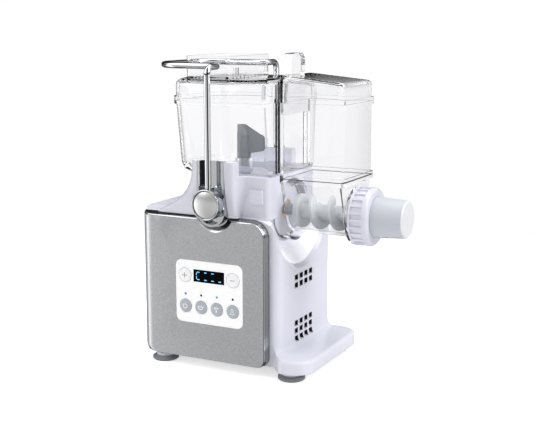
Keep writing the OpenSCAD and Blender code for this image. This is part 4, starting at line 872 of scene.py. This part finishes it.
def soft_lamp(name, place, aim, size, watts):
    """A rectangular lamp. Size is its width and height in metres."""
    data = bpy.data.lights.new(name, "AREA")
    data.shape, data.size, data.size_y = "RECTANGLE", size[0], size[1]
    data.energy = watts
    lamp = bpy.data.objects.new(name, data)
    lamp.location = place
    lamp.rotation_euler = (Vector(aim) - Vector(place)).to_track_quat("-Z", "Y").to_euler()
    bpy.context.scene.collection.objects.link(lamp)


soft_lamp("key_lamp", (-1.0, -1.2, 1.0), aim_at_body, (0.7, 1.0), 3.5)
soft_lamp("side_lamp", (1.3, 0.1, 1.15), aim_at_body, (0.6, 1.2), 11)
soft_lamp("top_lamp", (0.0, 0.3, 1.6), aim_at_bowl, (1.4, 1.0), 10)
print("lamps hung")

# %% [markdown]
# ## Studio walls
# Mirrors and gloss need something to mirror. Panels hung on real walls would do, but they would also
# throw light, so the world itself is painted with them, by bearing and by height. There are bright
# windows at the left and the right, a dark gap behind the camera that draws the black line down the
# chromed wire, and dim far walls. By height, a dark band just above the horizon draws the dark lines
# in the clear walls. Each list below holds pairs of a place and a brightness.

# %% Bearing and height
world = bpy.data.worlds.new("studio")
bpy.context.scene.world = world
world.use_nodes = True
tree = world.node_tree
tree.nodes.clear()
look = add(tree, "ShaderNodeTexCoord").outputs["Generated"]
split = add(tree, "ShaderNodeSeparateXYZ", {0: look})
bearing = add(tree, "ShaderNodeMath", {
    0: split.outputs["Y"], 1: split.outputs["X"]}, operation="ARCTAN2")
around = add(tree, "ShaderNodeMapRange", {
    "Value": bearing.outputs[0], "From Min": -math.pi, "From Max": math.pi})
height = add(tree, "ShaderNodeMapRange", {
    "Value": split.outputs["Z"], "From Min": -1.0, "From Max": 1.0})
print("world measured by bearing and height")

# %% Brightness of the walls
# Bearings in degrees from +X, with -90 in front of the machine
near_walls = [(-180, 0.45), (-170, 1.8), (-150, 1.8), (-141, 0.9), (-129, 0.64), (-122, 0.58),
              (-100, 0.58), (-90, 0.9), (-76, 0.4), (-66, 0.02), (-30, 0.02), (-20, 0.9),
              (25, 0.7), (70, 0.4)]
dark_far_walls = [(100, 0.03), (146, 0.03), (180, 0.45)]
dim_far_walls = [(100, 0.35), (146, 0.3), (180, 0.45)]
# Heights from 0, straight down, over 0.5, the horizon, to 1, straight up
layer_stops = [(0.0, 0.05), (0.1, 0.05), (0.2, 0.7), (0.36, 0.75), (0.45, 1.0), (0.5, 1.0),
               (0.515, 0.03), (0.58, 0.03), (0.6, 0.9), (1.0, 1.0)]
soft_stops = [(0.0, 0.55), (0.5, 0.5), (1.0, 0.66)]
unbent_stops = [(0.0, 0.0), (0.22, 0.0), (0.34, 1.0), (0.66, 1.0), (0.76, 0.0), (1.0, 0.0)]
print("bearings:", len(near_walls) + len(dark_far_walls), "heights:", len(layer_stops))

# %% Ramps of grey
plans = {
    "upper": (around, [((turn + 180) / 360, shade) for turn, shade in near_walls + dark_far_walls]),
    "lower": (around, [((turn + 180) / 360, shade) for turn, shade in near_walls + dim_far_walls]),
    "layers": (height, layer_stops),
    "soft": (height, soft_stops),
    "unbent": (height, unbent_stops),
}
greys = {}
for name, (measure, stops) in plans.items():
    ramp = add(tree, "ShaderNodeValToRGB", {"Fac": measure.outputs[0]})
    ends = ramp.color_ramp.elements
    for end, (position, shade) in zip(ends, (stops[0], stops[-1])):
        end.position, end.color = position, (shade, shade, shade, 1)
    for position, shade in stops[1:-1]:
        ends.new(position).color = (shade, shade, shade, 1)
    greys[name] = ramp.outputs[0]
print("wall ramps painted:", ", ".join(greys))

# %% [markdown]
# ## Who sees what
# Mirrored rays see the walls and layers. Light that falls on dull surfaces comes evenly from all
# round, from its own soft ramp. The camera sees plain white paper, also through clear walls, but
# where an edge bends its view far up or down it sees the room, which draws the lines round the clear
# boxes.

# %% Rays and their worlds
above = add(tree, "ShaderNodeMath", {0: split.outputs["Z"], 1: 0.0}, operation="GREATER_THAN")
walls = add(tree, "ShaderNodeMixRGB", {
    "Fac": above.outputs[0], "Color1": greys["lower"], "Color2": greys["upper"]})
mirrored = add(tree, "ShaderNodeMixRGB", {
    "Fac": 1.0, "Color1": walls.outputs[0], "Color2": greys["layers"]}, blend_type="MULTIPLY")
ray = add(tree, "ShaderNodeLightPath")
wall_colour = add(tree, "ShaderNodeMixRGB", {
    "Fac": ray.outputs["Is Diffuse Ray"], "Color1": mirrored.outputs[0], "Color2": greys["soft"]})
room = add(tree, "ShaderNodeBackground", {"Color": wall_colour.outputs[0], "Strength": 1.0})
paper = add(tree, "ShaderNodeBackground", {"Color": linear("#ffffff"), "Strength": 1.0})
through = add(tree, "ShaderNodeMath", {
    0: ray.outputs["Is Transmission Ray"], 1: greys["unbent"]}, operation="MULTIPLY")
straight = add(tree, "ShaderNodeMath", {
    0: ray.outputs["Is Camera Ray"], 1: through.outputs[0]}, operation="MAXIMUM")
seen = add(tree, "ShaderNodeMixShader", {
    0: straight.outputs[0], 1: room.outputs[0], 2: paper.outputs[0]})
add(tree, "ShaderNodeOutputWorld", {"Surface": seen.outputs[0]})
print("studio ready")

# %% [markdown]
# ## Camera
# The camera stands at the front right and looks slightly down. Its lens is given by the focal length
# in pixels of a picture 533 wide, and the shift moves the machine within the picture without turning
# the camera, so upright lines stay as they are.

# %% Camera
picture_wide = 533
focal_pixels = 1056.2
shift_right, shift_up = -17.8, -30.0
sensor_mm = 36
camera_at = Vector((0.4927, -0.9041, 0.3354))
turned, tipped = math.radians(26.714), math.radians(9.385)
camera_data = bpy.data.cameras.new("camera")
camera_data.sensor_width = sensor_mm
camera_data.lens = focal_pixels / picture_wide * sensor_mm
camera_data.shift_x, camera_data.shift_y = shift_right / picture_wide, shift_up / picture_wide
camera_data.clip_start, camera_data.clip_end = 0.05, 50
camera = bpy.data.objects.new("camera", camera_data)
camera.location = camera_at
camera.rotation_euler = (math.pi / 2 - tipped, 0, turned)
bpy.context.scene.collection.objects.link(camera)
bpy.context.scene.camera = camera
bpy.context.scene.view_settings.view_transform = "Standard"
print("lens:", round(camera_data.lens, 2), "mm")
